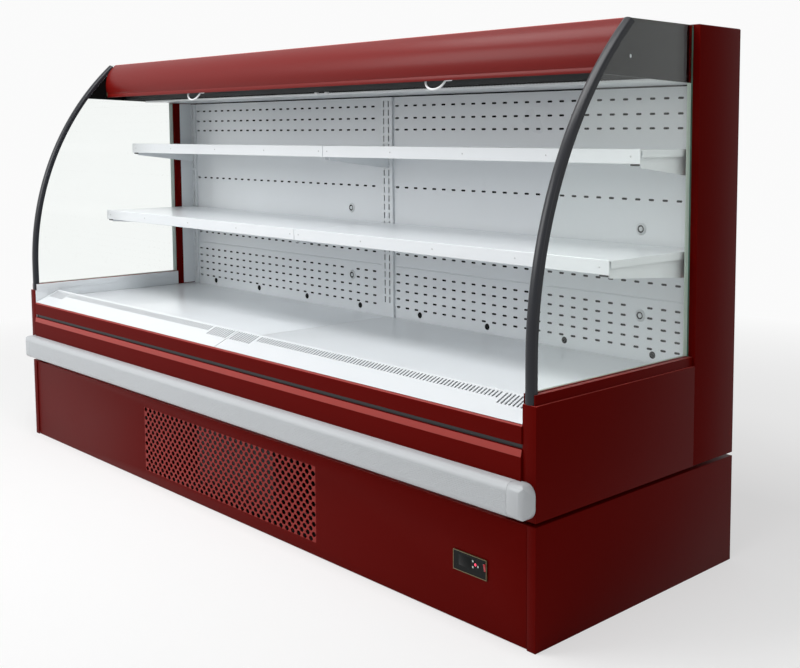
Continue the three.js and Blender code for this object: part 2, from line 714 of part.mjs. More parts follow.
// The canopy's end plate, behind the trim and inside the glass, which also holds the blind's pin.
function canopyEnd() {
  const top = BODY_HEIGHT - 2;
  const front = frontLine(TRIM.deep + 2 * FIT, top, 16).filter(([, z]) => z >= CEILING.bottom);
  const outline = [...front, [END_DEPTH - FIT, top], [END_DEPTH - FIT, CEILING.bottom]];
  const plate = alongX(outline, [CHEEK_X, CHEEK_X + CHEEK_THICKNESS]);
  return cut(plate, rodX(ROLLER.pin + FIT, [BAY_LENGTH, HALF_LENGTH], ROLLER.y, ROLLER.z));
}

// ---------- canopy ----------
function canopyFascia() {
  const { y, z, radius, sheet, bottom } = FASCIA;
  const inner = radius - sheet;
  const degrees = (height, r) => 180 - THREE.MathUtils.radToDeg(Math.asin((height - z) / r));
  const back = FASCIA_BACK;
  const innerTop = 180 - THREE.MathUtils.radToDeg(Math.acos((y - back) / inner));
  const outline = [
    ...arc(y, z, radius, degrees(bottom, radius), degrees(BODY_HEIGHT, radius), 16),
    ...arc(y, z, inner, innerTop, degrees(bottom, inner), 16),
  ];
  const { half, reach } = BLIND_BRACKET;
  const bracket = [
    box([-half, half], [y - inner - 1, reach], [BLIND_BRACKET.bottom, BLIND_BRACKET.top]),
    box([-half, half], [reach - BLIND_BRACKET.leg, reach], [BLIND_BRACKET.top - 1, ROOF_Z - FIT]),
  ];
  const end = BAY_LENGTH;
  const pin = half - BLIND_BRACKET.pin;
  return cut(
    join(alongX(outline, [-end, end]), ...bracket),
    rodX(ROLLER.pin + FIT, [pin, half + 1], ROLLER.y, ROLLER.z),
    rodX(ROLLER.pin + FIT, [-half - 1, -pin], ROLLER.y, ROLLER.z),
  );
}

function ceilingLining() {
  const { front, sheet, bottom, hem } = CEILING;
  const outline = [
    [front, bottom],
    [DUCT.face, bottom],
    [DUCT.face, bottom + sheet],
    [front + PANEL_SHEET, bottom + sheet],
    [front + PANEL_SHEET, bottom + hem],
    [front, bottom + hem],
  ];
  return alongX(outline, [-BAY_LENGTH, BAY_LENGTH]);
}

// The honeycomb of the air curtain and the plate that carries it from the roof.
function dischargeGrid() {
  const { front, high, plate } = GRID;
  const bottom = CEILING.bottom + GRID.rise;
  const back = CEILING.front - FIT;
  const outline = [
    [front - plate, bottom],
    [back, bottom],
    [back, bottom + high],
    [front, bottom + high],
    [front, ROOF_Z - FIT],
    [front - plate, ROOF_Z - FIT],
  ];
  return alongX(outline, [-BAY_LENGTH, BAY_LENGTH]);
}

// ---------- night blinds ----------
const tilt = THREE.MathUtils.degToRad(BLIND_TILT);
const rollerStart = BLIND_BRACKET.half + ROLLER.play;
const rollerLength = BAY_LENGTH - ROLLER.play - rollerStart;

// The wound cloth on its tube and two pins, made about its axis and starting at x = 0.
function blindRoller() {
  const wound = rodX(ROLLER.radius, [0, rollerLength], 0, 0, 32);
  const pins = rodX(ROLLER.pin, [-ROLLER.play - 8, rollerLength + ROLLER.play + FIT + 3], 0, 0, 16);
  return join(wound, pins);
}

// Bar, handle and the end of the cloth, made upright round the bar's middle and then tilted.
function blindBar(handleX) {
  const half = BAR.thick / 2;
  const length = rollerLength - 2 * BAR.play;
  const cloth = [-FIT - BLIND_CLOTH, -FIT];
  const { wide, drop, rod, plate, plateHigh } = HANDLE;
  const loop = cut(
    box([-wide / 2, wide / 2], [-half + 1, half - 1], [-drop, 0]),
    box([-wide / 2 + rod, wide / 2 - rod], [-half, half], [-drop + rod, -BAR.high / 2 - rod]),
  ).translate(handleX, 0, 0);
  const tongue = box([wide / 2 - 1, wide / 2 + plate], [-half + 1, half - 1], [-BAR.high / 2 - plateHigh, 0]);
  return join(
    box([-length / 2, length / 2], [-half, half], [-BAR.high / 2, BAR.high / 2]),
    box([-length / 2, length / 2], cloth, [BAR.high / 2 - 1, BAR.below]),
    loop,
    tongue.translate(handleX, 0, 0),
  );
}

// ---------- rear wall ----------
function slotLevels() {
  const top = hookLevel(SHELVES[0]);
  return Array.from({ length: SLOT.count }, (_, i) => top + SLOT.pitch * (5 - i));
}

// A channel with its web forward; columns are the x places of its rows of slots.
function upright([left, right], columns) {
  const { face, sheet, top } = UPRIGHT;
  const back = BACK_Y - FIT;
  const bottom = WELL_Z + FIT;
  const channel = join(
    box([left, right], [face, face + sheet], [bottom, top]),
    box([left, left + sheet], [face, back], [bottom, top]),
    box([right - sheet, right], [face, back], [bottom, top]),
  );
  const slots = [];
  for (const x of columns) {
    for (const level of slotLevels()) {
      const low = level - FIT;
      slots.push(box([x - SLOT.wide / 2, x + SLOT.wide / 2], [face - 1, face + sheet + 1], [low, low + SLOT.high]));
    }
  }
  return cut(channel, ...slots);
}

// Sheet with a ledge for the trays at its foot and folded edges that reach the back wall.
function backDuct() {
  const left = UPRIGHT.half + FIT;
  const right = BAY_LENGTH - UPRIGHT.half - FIT;
  const { face, sheet, fold } = DUCT;
  const foot = DECK_SEAT - sheet;
  const back = BACK_Y - FIT;
  return join(
    box([left, right], [face, face + sheet], [foot, UPRIGHT.top]),
    box([left, right], [LEDGE.front, face + sheet], [foot, DECK_SEAT]),
    box([left, left + sheet], [face, back], [fold, UPRIGHT.top]),
    box([right - sheet, right], [face, back], [fold, UPRIGHT.top]),
  );
}

// ---------- well ----------
function evaporatorCoil() {
  const { half, top, lip, fin } = COIL;
  const bottom = WELL_Z + FIT;
  const deep = [COIL.front - lip, COIL.back + lip];
  return join(
    box([-half, half], [COIL.front, COIL.back], [bottom + fin, top - fin]),
    box([half - 3, half], deep, [bottom, top]),
    box([-half, -half + 3], deep, [bottom, top]),
    box([-30, 30], deep, [bottom, top - fin - 1]),
    rodX(LINES.radius, [half - 2, half + fin], LINES.y, LINES.high, 8),
  );
}

const evaporatorFanZ = WELL_Z + EVAPORATOR_FAN.rise;

// The upright plate with its two fan mouths, motors and the ledge that trays and grilles rest on.
function evaporatorFanPlate() {
  const { front, sheet, ledge } = FAN_PLATE;
  const half = BAY_LENGTH - FIT;
  const places = [-EVAPORATOR_FAN.x, EVAPORATOR_FAN.x];
  const plate = join(
    box([-half, half], [front, front + sheet], [WELL_Z + FIT, DECK_SEAT]),
    box([-half, half], [ledge, front + sheet], [DECK_SEAT - sheet, DECK_SEAT]),
  );
  const mouths = places.map((x) =>
    rodY(EVAPORATOR_FAN.radius, x, [front - 1, front + sheet + 1], evaporatorFanZ, 32),
  );
  const motors = places.flatMap((x) =>
    fanMotor(EVAPORATOR_FAN.radius + 8, fanPlaneToMotor).map((piece) =>
      piece.rotateZ(Math.PI).translate(x, front + 1, evaporatorFanZ),
    ),
  );
  const end = front - FAN.wide / 2 - 28;
  const shafts = places.map((x) => rodY(FAN.shaft + FIT, x, [end, front], evaporatorFanZ, 12));
  return cut(join(cut(plate, ...mouths), ...motors), ...shafts);
}

function deckTray() {
  return box([DECK_PLAY, BAY_LENGTH - DECK_PLAY], [GRILLE.ridge + 3, UPRIGHT.face - 1], [DECK_SEAT + FIT, DECK_TOP]);
}

function returnGrille() {
  const { low, ridge, slope, sheet, hem } = GRILLE;
  const line = (y) => low + slope * y;
  const inner = ridge - hem;
  const outline = [
    [0, low],
    [sheet / slope, low],
    [inner, line(inner) - sheet],
    [inner, DECK_SEAT + FIT],
    [ridge, DECK_SEAT + FIT],
    [ridge, line(ridge)],
  ];
  return alongX(outline, [DECK_PLAY, BAY_LENGTH - DECK_PLAY]);
}

// ---------- front ----------
function frontPanel() {
  const { lip, lower, groove, top, lipBottom, grooveBottom, bevel } = FRONT_FACE;
  const backing = WELL_FRONT - FIT;
  const roll = 6;
  const outline = [
    [FRONT_FLANGE, top],
    ...arc(lip + roll, top - roll, roll, 90, 180, 5),
    [lip, lipBottom],
    [groove, lipBottom],
    [groove, grooveBottom],
    [lip + 1, grooveBottom],
    [lower, bevel],
    [lower, BODY_Z + 3],
    [backing, BODY_Z + 3],
    [backing, WELL_TOP + FIT],
    [FRONT_FLANGE, WELL_TOP + FIT],
  ];
  return alongX(outline, [-BAY_LENGTH + FIT, BAY_LENGTH - FIT]);
}

// The bumper's outline, from a back face at y = back.
function bumperOutline(back) {
  const { bottom, top, front, round } = BUMPER;
  return [
    [back, bottom],
    [back, top],
    ...arc(front + round, top - round, round, 90, 180, 6),
    ...arc(front + round, bottom + round, round, 180, 270, 6),
  ];
}

const capStart = BAY_LENGTH - BUMPER.cap;

function bumperRail() {
  return alongX(bumperOutline(FRONT_FACE.lower - FIT), [-capStart + FIT, capStart - FIT]);
}

function bumperCap() {
  const { bottom, top, front, capRound } = BUMPER;
  const full = join(
    alongX(bumperOutline(FRONT_FACE.lower - FIT), [capStart, BAY_LENGTH]),
    alongX(bumperOutline(-FIT), [BAY_LENGTH - FIT, HALF_LENGTH]),
  );
  const face = alongY(
    [
      [capStart - 1, bottom - 1],
      ...arc(HALF_LENGTH - capRound, bottom + capRound, capRound, 270, 360, 6),
      ...arc(HALF_LENGTH - capRound, top - capRound, capRound, 0, 90, 6),
      [capStart - 1, top + 1],
    ],
    [front - 1, 1],
  );
  const plan = alongZ(
    [
      [capStart - 1, 1],
      [capStart - 1, front - 1],
      ...arc(HALF_LENGTH - capRound, front + capRound, capRound, 270, 360, 6),
      [HALF_LENGTH, 1],
    ],
    [bottom - 1, top + 1],
  );
  return common(full, face, plan);
}

// ---------- shelves ----------
// Underside of the hook of a shelf, where it seats in the uprights.
function hookLevel(shelf) {
  return shelfTop(shelf) - SHELF.lip - SHELF.sheet - HOOK.below;
}

function shelfTop(shelf) {
  return SHELF_TOP_UPPER - SLOT.pitch * (shelf.steps - 1);
}

// A shelf of the right-hand bay with its two brackets, made about its hook: y = 0 is the web's middle.
function shelfPiece(shelf) {
  const pivotY = UPRIGHT.face + UPRIGHT.sheet / 2;
  const front = shelf.front - pivotY;
  const back = SHELF.back - pivotY;
  const under = HOOK.below;
  const top = under + SHELF.sheet;
  const [left, right] = [SHELF.play, BAY_LENGTH - SHELF.play];
  const rear = -UPRIGHT.sheet / 2 - HOOK.gap;
  const hold = UPRIGHT.sheet / 2 + HOOK.hold;
  const end = hold + HOOK.reach;
  const foot = -HOOK.lower;
  const plate = [
    box([left, right], [front, front + SHELF.thick], [top + SHELF.lip - SHELF.strip, top + SHELF.lip]),
    box([left, right], [front, back], [under, top]),
    box([left, right], [back - SHELF.sheet, back], [top - SHELF.hem, top]),
    box([right - SHELF.sheet, right], [front, back], [top - SHELF.hem, top]),
    box([left, left + SHELF.sheet], [front, back], [top - SHELF.hem, top]),
  ];
  const outline = [
    [front + BRACKET.front, under + 1],
    [back - HOOK.gap, under + 1],
    [rear, HOOK.tab],
    [end, HOOK.tab],
    [end, -HOOK.lip],
    [hold, -HOOK.lip],
    [hold, 0],
    [rear, 0],
    [rear, foot + HOOK.tab],
    [end - HOOK.nib, foot + HOOK.tab],
    [end - HOOK.nib, foot],
    [rear, foot],
    [rear, foot - HOOK.nib],
    [front + BRACKET.front, under - BRACKET.frontDrop],
  ];
  const brackets = [SLOT.centreX, BAY_LENGTH - SLOT.endX].map((x) =>
    alongX(outline, [x - BRACKET.sheet / 2, x + BRACKET.sheet / 2]),
  );
  return join(...plate, ...brackets);
}

// ---------- assembly ----------
add("base_plate", basePlate(), blackMetal);
addPair("base_side", baseSide(), redPaint);
add("service_panel", servicePanel(), redPaint);
add("base_back_panel", baseBackPanel(), redPaint);
const bulkhead = box([-1.5, 1.5], [PANEL_TRAY + 14, backPanelY - 16], [PLATE_TOP, BODY_Z - FIT]);
add("base_bulkhead", bulkhead, galvanised, [BULKHEAD_X, 0, 0]);
add("cord_gland", cordGland(), blackPlastic);

add("controller_housing", controllerHousing(), blackPlastic);
for (const [name, across, up] of KEY_PLACES) {
  add(name, controllerKey(), whitePlastic, [CONTROL.x + across, controlFront, CONTROL.z + up]);
}
add("power_rocker", powerRocker(), redPlastic, [rockerX, rockerY, rockerZ]);

add("compressor", compressor(), blackMetal);
add("condenser_coil", condenserCoil(), aluminium);
add("condenser_shroud", condenserShroud(), galvanised);
add("condenser_fan", fanWheel(FAN.radius), aluminium, [0, shroudBack - 2, condenserFanZ]);
add("evaporation_tray", evaporationTray(), galvanised);

add("insulated_well", insulatedWell(), galvanised);
add("drain_pipe", drainPipe(), greyPlastic);
add("refrigerant_lines", refrigerantLines(), copper);
addPair("end_panel", endPanel(), redPaint);
addPair("rear_post", rearPost(), redPaint);
add("back_wall", box([-BAY_LENGTH, BAY_LENGTH], [BACK_Y, BODY_DEPTH], [BODY_Z, ROOF_Z]), redPaint);
add("roof_panel", box([-BAY_LENGTH, BAY_LENGTH], [ROOF_FRONT, BODY_DEPTH], [ROOF_Z, BODY_HEIGHT]), redPaint);

addPair("glass_trim", glassTrim(), blackPlastic);
addPair("end_glass", endGlass(), safetyGlass);
addPair("canopy_end", canopyEnd(), blackPlastic);
add("canopy_fascia", canopyFascia(), redPaint);
add("ceiling_lining", ceilingLining(), whiteEnamel);
add("discharge_grid", dischargeGrid(), blackPlastic);

// Each blind hangs on the line that leaves the front of its roller.
const leave = new THREE.Vector3(0, -Math.cos(tilt), Math.sin(tilt)).multiplyScalar(ROLLER.radius);
const pull = new THREE.Vector3(0, -Math.sin(tilt), -Math.cos(tilt));
const barAt = new THREE.Vector3(0, ROLLER.y, ROLLER.z).add(leave).addScaledVector(pull, BAR.below);
const rollerMiddle = rollerStart + rollerLength / 2;
for (const [side, sign] of [["left", -1], ["right", 1]]) {
  const roller = sign > 0 ? blindRoller() : flipped(blindRoller());
  add("blind_roller_" + side, roller, blindCloth, [sign * rollerStart, ROLLER.y, ROLLER.z]);
  const handleX = sign * (BAY_LENGTH / 2 - rollerMiddle);
  const place = [sign * rollerMiddle, barAt.y, barAt.z];
  const bar = add("blind_bar_" + side, blindBar(handleX), whitePlastic, place);
  bar.rotation.x = -tilt;
}

const endSlotX = BAY_LENGTH - SLOT.endX;
add("upright_centre", upright([-UPRIGHT.half, UPRIGHT.half], [-SLOT.centreX, SLOT.centreX]), whiteEnamel);
addPair("upright", upright([BAY_LENGTH - UPRIGHT.half, BAY_LENGTH - FIT], [endSlotX]), whiteEnamel);
addPair("back_duct", backDuct(), whiteEnamel);

add("evaporator_coil", evaporatorCoil(), aluminium);
add("evaporator_fan_plate", evaporatorFanPlate(), galvanised);
for (const [side, x] of [["left", -EVAPORATOR_FAN.x], ["right", EVAPORATOR_FAN.x]]) {
  const place = [x, FAN_PLATE.front + 1, evaporatorFanZ];
  add("evaporator_fan_" + side, fanWheel(EVAPORATOR_FAN.radius).rotateZ(Math.PI), aluminium, place);
}
addPair("deck_tray", deckTray(), whiteEnamel);
addPair("return_grille", returnGrille(), whiteEnamel);

add("front_panel", frontPanel(), redPaint);
add("bumper_rail", bumperRail(), greyPlastic);
addPair("bumper_cap", bumperCap(), greyPlastic);

for (const shelf of SHELVES) {
  const seat = [0, UPRIGHT.face + UPRIGHT.sheet / 2, hookLevel(shelf)];
  const piece = shelfPiece(shelf);
  add("shelf_" + shelf.row + "_right", piece, whiteEnamel, seat);
  add("shelf_" + shelf.row + "_left", flipped(piece), whiteEnamel, seat);
}

// The origin is the middle of the footprint, on the floor.
fridge.position.y = -(BODY_DEPTH + BUMPER.front) / 2;

export default new THREE.Group().add(fridge);
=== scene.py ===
# %% [markdown]
# An open display fridge of two joined bays: a red painted cabinet, a white lit-up inside, glass ends
# in black trim, two shelves to a bay, roll-down night blinds and a grey bumper. The imported CAD model
# is the frame. Each cell dresses one part of it: it says what the piece is, how it could be made, and
# why this way was chosen. We start by loading the frame.

# %% Load the frame
import math
from collections import namedtuple

import bmesh
import bpy
from mathutils import Euler, Matrix, Vector


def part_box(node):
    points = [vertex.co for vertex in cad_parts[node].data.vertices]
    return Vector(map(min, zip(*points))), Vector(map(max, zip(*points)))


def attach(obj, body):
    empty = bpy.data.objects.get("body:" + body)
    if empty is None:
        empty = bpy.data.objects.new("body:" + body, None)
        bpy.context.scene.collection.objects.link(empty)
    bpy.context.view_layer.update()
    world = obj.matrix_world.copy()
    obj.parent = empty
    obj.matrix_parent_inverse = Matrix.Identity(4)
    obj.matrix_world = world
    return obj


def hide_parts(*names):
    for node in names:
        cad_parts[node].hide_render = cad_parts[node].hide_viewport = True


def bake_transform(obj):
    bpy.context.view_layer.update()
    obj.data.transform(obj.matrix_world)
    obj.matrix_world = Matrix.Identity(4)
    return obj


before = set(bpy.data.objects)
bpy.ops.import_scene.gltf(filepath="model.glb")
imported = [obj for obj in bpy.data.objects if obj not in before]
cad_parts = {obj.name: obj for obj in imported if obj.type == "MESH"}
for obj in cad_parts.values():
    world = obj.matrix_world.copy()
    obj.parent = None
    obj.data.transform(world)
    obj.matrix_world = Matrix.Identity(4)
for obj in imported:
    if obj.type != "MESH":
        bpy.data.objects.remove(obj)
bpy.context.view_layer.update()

# %% [markdown]
# Shapes are drawn in millimetres, as on a workshop drawing: x to the shopper's right from the middle
# of the cabinet, y back from the front face of the base, z up from the floor. Blender works in metres,
# so a last step moves every finished mesh into the frame. A node's box in millimetres tells each piece
# where it belongs.

# %% Millimetres
MM = 0.001
BASE_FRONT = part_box("base_side_right")[0].y  # the front face of the base, in the frame's metres
TO_FRAME = Matrix.Translation((0, BASE_FRONT, 0)) @ Matrix.Scale(MM, 4)
Span = namedtuple("Span", "x0 x1 y0 y1 z0 z1")


def span(node):
    """The box of a CAD node in millimetres."""
    low, high = ((corner - Vector((0, BASE_FRONT, 0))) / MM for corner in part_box(node))
    return Span(low.x, high.x, low.y, high.y, low.z, high.z)


SIDES = {"left": -1, "right": 1}
BASE = span("base_side_right")
END_PANEL = span("end_panel_right")
BAY = span("back_wall").x1  # length of one bay, from the middle to an end panel
print("bay", round(BAY), "base", [round(v) for v in BASE])

# %% [markdown]
# The camera stands where the photographer stood: off the right-hand end, a little below the top, looking
# down five degrees. Its place and turn were solved from corners that can be named in the picture. The picture
# is cropped off-centre, which the lens shift repeats.

# %% Camera
CAMERA_PLACE = (2.855, -2.077, 1.128)
CAMERA_TURN = (84.7, -0.02, 44.59)  # degrees: tilt, roll and swing
CAMERA_LENS = 49.73
CAMERA_SHIFT = (-0.12, -0.12)


def linked(name, data):
    """A new object in the scene."""
    made = bpy.data.objects.new(name, data)
    bpy.context.scene.collection.objects.link(made)
    return made


camera = linked("camera", bpy.data.cameras.new("camera"))
camera.location = CAMERA_PLACE
camera.rotation_euler = Euler([math.radians(turn) for turn in CAMERA_TURN])
camera.data.sensor_width = 36
camera.data.lens = CAMERA_LENS
camera.data.shift_x, camera.data.shift_y = CAMERA_SHIFT
bpy.context.scene.camera = camera

# %% [markdown]
# A material is a small network of nodes. One helper adds a node, sets what is constant on it and links
# the rest, for shaders and for Geometry Nodes alike. Colours are written as a screen shows them and
# turned to the linear light that a renderer counts in.


# %% Helpers for node trees
def node(tree, kind, inputs=None, **settings):
    """A new node. An input is named or numbered; a value is set, and a socket is linked."""
    made = tree.nodes.new(kind)
    for key, value in settings.items():
        setattr(made, key, value)
    for key, value in (inputs or {}).items():
        if isinstance(value, bpy.types.NodeSocket):
            tree.links.new(value, made.inputs[key])
        else:
            made.inputs[key].default_value = value
    return made


def screen(red, green, blue):
    """A screen colour, 0 to 255, as linear light."""
    def linear(value):
        value /= 255
        return value / 12.92 if value <= 0.04045 else ((value + 0.055) / 1.055) ** 2.4

    return (*(linear(value) for value in (red, green, blue)), 1)


def shaded(colour, amount):
    return (*(min(1, channel * amount) for channel in colour[:3]), 1)


# %% [markdown]
# Real finishes are never one flat colour. Sprayed paint has orange peel and slow changes of gloss, a
# moulding has a fine grain, drawn metal has long streaks. `finish` builds them all from the same three
# layers of noise, read in Object coordinates so that the pattern has a real size: clouds in the colour,
# clouds in the roughness, and a grain in the bump.

# %% A finish
def finish(name, colour, rough, clouds=0.06, cloud_size=0.25, grain=0.1, grain_size=0.002,
           stretch=(1, 1, 1), rough_change=0.06, grain_height=0.0002, **constants):
    """A material of one colour. Sizes are in metres; constants go to sockets of the shader itself."""
    material = bpy.data.materials.new(name)
    material.use_nodes = True
    tree = material.node_tree
    shader = tree.nodes["Principled BSDF"]
    place = node(tree, "ShaderNodeTexCoord").outputs["Object"]
    place = node(tree, "ShaderNodeMapping", {"Vector": place, "Scale": stretch}).outputs["Vector"]
    cloud = node(tree, "ShaderNodeTexNoise", {"Vector": place, "Scale": 1 / cloud_size, "Detail": 4.0})
    mixed = node(tree, "ShaderNodeMix", {
        0: cloud.outputs["Fac"], 6: shaded(colour, 1 - clouds), 7: shaded(colour, 1 + clouds),
    }, data_type="RGBA")
    tree.links.new(mixed.outputs[2], shader.inputs["Base Color"])
    gloss = node(tree, "ShaderNodeMapRange", {
        "Value": cloud.outputs["Fac"], "To Min": rough - rough_change, "To Max": rough + rough_change,
    })
    tree.links.new(gloss.outputs[0], shader.inputs["Roughness"])
    fine = node(tree, "ShaderNodeTexNoise", {"Vector": place, "Scale": 1 / grain_size, "Detail": 2.0})
    bump = node(tree, "ShaderNodeBump", {
        "Height": fine.outputs["Fac"], "Strength": grain, "Distance": grain_height,
    })
    tree.links.new(bump.outputs[0], shader.inputs["Normal"])
    for socket, value in constants.items():
        shader.inputs[socket.replace("_", " ")].default_value = value
    return material


RED = screen(91, 6, 3)
PAINT = {"cloud_size": 0.5, "grain": 0.06, "grain_size": 0.0035}
red_paint = finish("red_gloss_paint", RED, 0.36, Specular_IOR_Level=0.02, **PAINT)
# The fascia's red is a brighter copy of the body's paint: painted light from the lamp above.
lit_canopy_red = finish("red_canopy_painted_light", screen(108, 12, 8), 0.38, Specular_IOR_Level=0.12,
                    Coat_Weight=0.1, Coat_Roughness=0.2, **PAINT)
white_enamel = finish("white_enamel", screen(226, 230, 233), 0.3, clouds=0.025, grain=0.04, grain_size=0.003,
                      Coat_Weight=0.3, Coat_Roughness=0.12)
white_lining = finish("white_lining", screen(222, 224, 226), 0.45, clouds=0.03)
bumper_grey = finish("bumper_grey", screen(184, 188, 191), 0.42, clouds=0.03, grain=0.1, grain_size=0.0012)
bumper_end_grey = finish("bumper_end_grey", screen(184, 188, 191), 0.36, clouds=0.03)
trim_black = finish("trim_black", screen(28, 30, 36), 0.3, grain=0.12, grain_size=0.0012,
                    Specular_IOR_Level=0.3)
gloss_black = finish("gloss_black", screen(10, 13, 13), 0.16, clouds=0.3, cloud_size=0.03, grain=0.25,
                     grain_size=0.012, grain_height=0.0006, rough_change=0.07, Specular_IOR_Level=0.1)
satin_black = finish("satin_black", screen(20, 22, 24), 0.5, grain=0.15, grain_size=0.0015)
shadow_black = finish("shadow_black", screen(9, 9, 10), 0.8)
rubber = finish("seal_rubber", screen(28, 29, 31), 0.75, grain=0.2)
white_moulding = finish("white_moulding", screen(232, 233, 235), 0.38, clouds=0.02)
# Near-black metal for the parts behind the vent holes: painted shade.
shade_dark_metal = finish("shade_darkened_metal", screen(22, 22, 23), 0.6, clouds=0.15, cloud_size=0.02)
# A paler copy of the red paint for edges, bevels and top faces that face the lamps: painted highlight.
highlight_red = finish("painted_highlight_red", screen(158, 58, 52), 0.4, cloud_size=0.1, Specular_IOR_Level=0.2)
# A lighter copy of the red paint for the webs between the vent holes: painted highlight.
vent_highlight_red = finish("vent_painted_highlight_red", screen(136, 40, 36), 0.4, cloud_size=0.1, Specular_IOR_Level=0.1)
ring_white = finish("plug_white", screen(206, 210, 212), 0.4, cloud_size=0.02)
galvanised = finish("galvanised_sheet", screen(168, 172, 176), 0.42, clouds=0.16, cloud_size=0.02,
                    rough_change=0.14, Metallic=0.9)
fin_metal = finish("fin_aluminium", screen(196, 200, 203), 0.38, stretch=(1, 1, 0.05), Metallic=0.95)
bare_steel = finish("zinc_screw", screen(186, 188, 190), 0.3, cloud_size=0.01, Metallic=1.0)
copper_tube = finish("drawn_copper", screen(190, 112, 74), 0.3, clouds=0.14, cloud_size=0.03,
                     stretch=(1, 1, 0.3), Metallic=1.0)
shell_black = finish("compressor_black", screen(26, 27, 29), 0.36, grain=0.3, grain_size=0.003)
pale_strip = finish("pale_glazing_strip", screen(206, 220, 210), 0.4, clouds=0.03)
green_edge = finish("ground_glass_edge", screen(60, 108, 92), 0.3, grain=0.3, grain_size=0.001)
olive_metal = finish("bezel_metal", screen(120, 112, 84), 0.3, cloud_size=0.01, Metallic=0.8)
window_black = finish("display_window", screen(6, 9, 9), 0.14, rough_change=0.03, grain=0.02,
                      Specular_IOR_Level=0.14)
key_white = finish("key_print", screen(190, 196, 192), 0.4, cloud_size=0.01)
rocker_red = finish("rocker_red", screen(186, 22, 40), 0.2, cloud_size=0.01, Transmission_Weight=0.15)
lamp_red = finish("lamp_lens", screen(232, 60, 96), 0.25, cloud_size=0.01,
                  Emission_Color=screen(255, 60, 90), Emission_Strength=0.6)
blind_cloth = finish("blind_cloth", screen(214, 217, 219), 0.8, grain=0.5, grain_size=0.0011,
                     clouds=0.05, cloud_size=0.05, Sheen_Weight=0.2)
print("finishes", len(bpy.data.materials))

# %% [markdown]
# Toughened glass is clear, with a breath of green that only its ground edges show strongly. The pane is a
# real solid, so a fully transmitting shader bends the light twice and puts it back on its way.

# %% Glass
clear_glass = finish("clear_glass", screen(251, 254, 252), 0.012, clouds=0.004, grain=0.01, grain_size=0.08,
                     rough_change=0.008, Transmission_Weight=1.0, IOR=1.3)

# %% [markdown]
# Now the mesh tools. A prism runs an outline along an axis and makes most sheet-metal parts. A sweep
# carries a section along a path. `rounded` rounds the edges that a hand could feel. `piece` finishes a
# mesh: it moves the mesh into the frame, gives it its finish, and says which CAD body it rides on and
# which CAD node it stands for.

# %% Shapes
def solid(points, faces):
    shape = bmesh.new()
    corners = [shape.verts.new(point) for point in points]
    for face in faces:
        shape.faces.new([corners[i] for i in face])
    bmesh.ops.recalc_face_normals(shape, faces=shape.faces)
    return shape


def slab(points, across, along):
    """Two grids of points, one behind the other, closed into one thin solid."""
    row, back = across + 1, len(points) // 2
    faces = []
    for a in (ring * row + step for ring in range(along) for step in range(across)):
        faces += [(a, a + 1, a + row + 1, a + row), (back + a, back + a + row, back + a + row + 1, back + a + 1)]
    rim = [*range(row), *(ring * row + across for ring in range(1, along + 1)),
           *(along * row + step for step in range(across - 1, -1, -1)),
           *(ring * row for ring in range(along - 1, 0, -1))]
    return solid(points, faces + [(a, back + a, back + b, b) for a, b in zip(rim, rim[1:] + rim[:1])])


def prism(outline, start, end, axis="x"):
    """An outline in the plane across the axis: (y, z) for x, (x, z) for y and (x, y) for z."""
    place = {
        "x": lambda a, b, t: (t, a, b),
        "y": lambda a, b, t: (a, t, b),
        "z": lambda a, b, t: (a, b, t),
    }[axis]
    count = len(outline)
    points = [place(a, b, t) for t in (start, end) for a, b in outline]
    sides = [(i, (i + 1) % count, count + (i + 1) % count, count + i) for i in range(count)]
    return solid(points, [tuple(range(count)), tuple(range(count, 2 * count)), *sides])


def block(x0, x1, y0, y1, z0, z1):
    return prism([(y0, z0), (y1, z0), (y1, z1), (y0, z1)], x0, x1)


def arc(centre_a, centre_b, radius, start, end, steps):
    """Points on an arc, from one angle in degrees to another."""
    turns = [math.radians(start + (end - start) * i / steps) for i in range(steps + 1)]
    return [(centre_a + radius * math.cos(t), centre_b + radius * math.sin(t)) for t in turns]


def rod(radius, centre, start, end, axis="x", sides=24):
    """A round bar along an axis, through a centre given in the other two coordinates."""
    return prism(arc(*centre, radius, 0, 360 - 360 / sides, sides - 1), start, end, axis)


def lathed(profile, centre, axis="z", steps=32):
    """A (radius, height) profile turned round an axis through a centre (x, y, z)."""
    turn = {
        "x": Matrix.Rotation(math.radians(90), 4, "Y"),
        "y": Matrix.Rotation(math.radians(-90), 4, "X"),
        "z": Matrix(),
    }[axis]
    shape = bmesh.new()
    ring = [shape.verts.new((radius, 0, height)) for radius, height in profile]
    edges = [shape.edges.new(pair) for pair in zip(ring, ring[1:])]
    bmesh.ops.spin(shape, geom=ring + edges, axis=(0, 0, 1), cent=(0, 0, 0), angle=math.tau, steps=steps)
    bmesh.ops.remove_doubles(shape, verts=shape.verts, dist=0.01)
    bmesh.ops.transform(shape, matrix=Matrix.Translation(centre) @ turn, verts=shape.verts)
    bmesh.ops.recalc_face_normals(shape, faces=shape.faces)
    return shape


def swept(section, stations):
    """A closed section carried through stations, each a function from (x, depth) to a point."""
    count = len(section)
    points = [station(a, b) for station in stations for a, b in section]
    faces = [tuple(range(count)), tuple(range(len(points) - count, len(points)))]
    for low in range(0, len(points) - count, count):
        faces += [(low + i, low + (i + 1) % count, low + count + (i + 1) % count, low + count + i)
                  for i in range(count)]
    return solid(points, faces)


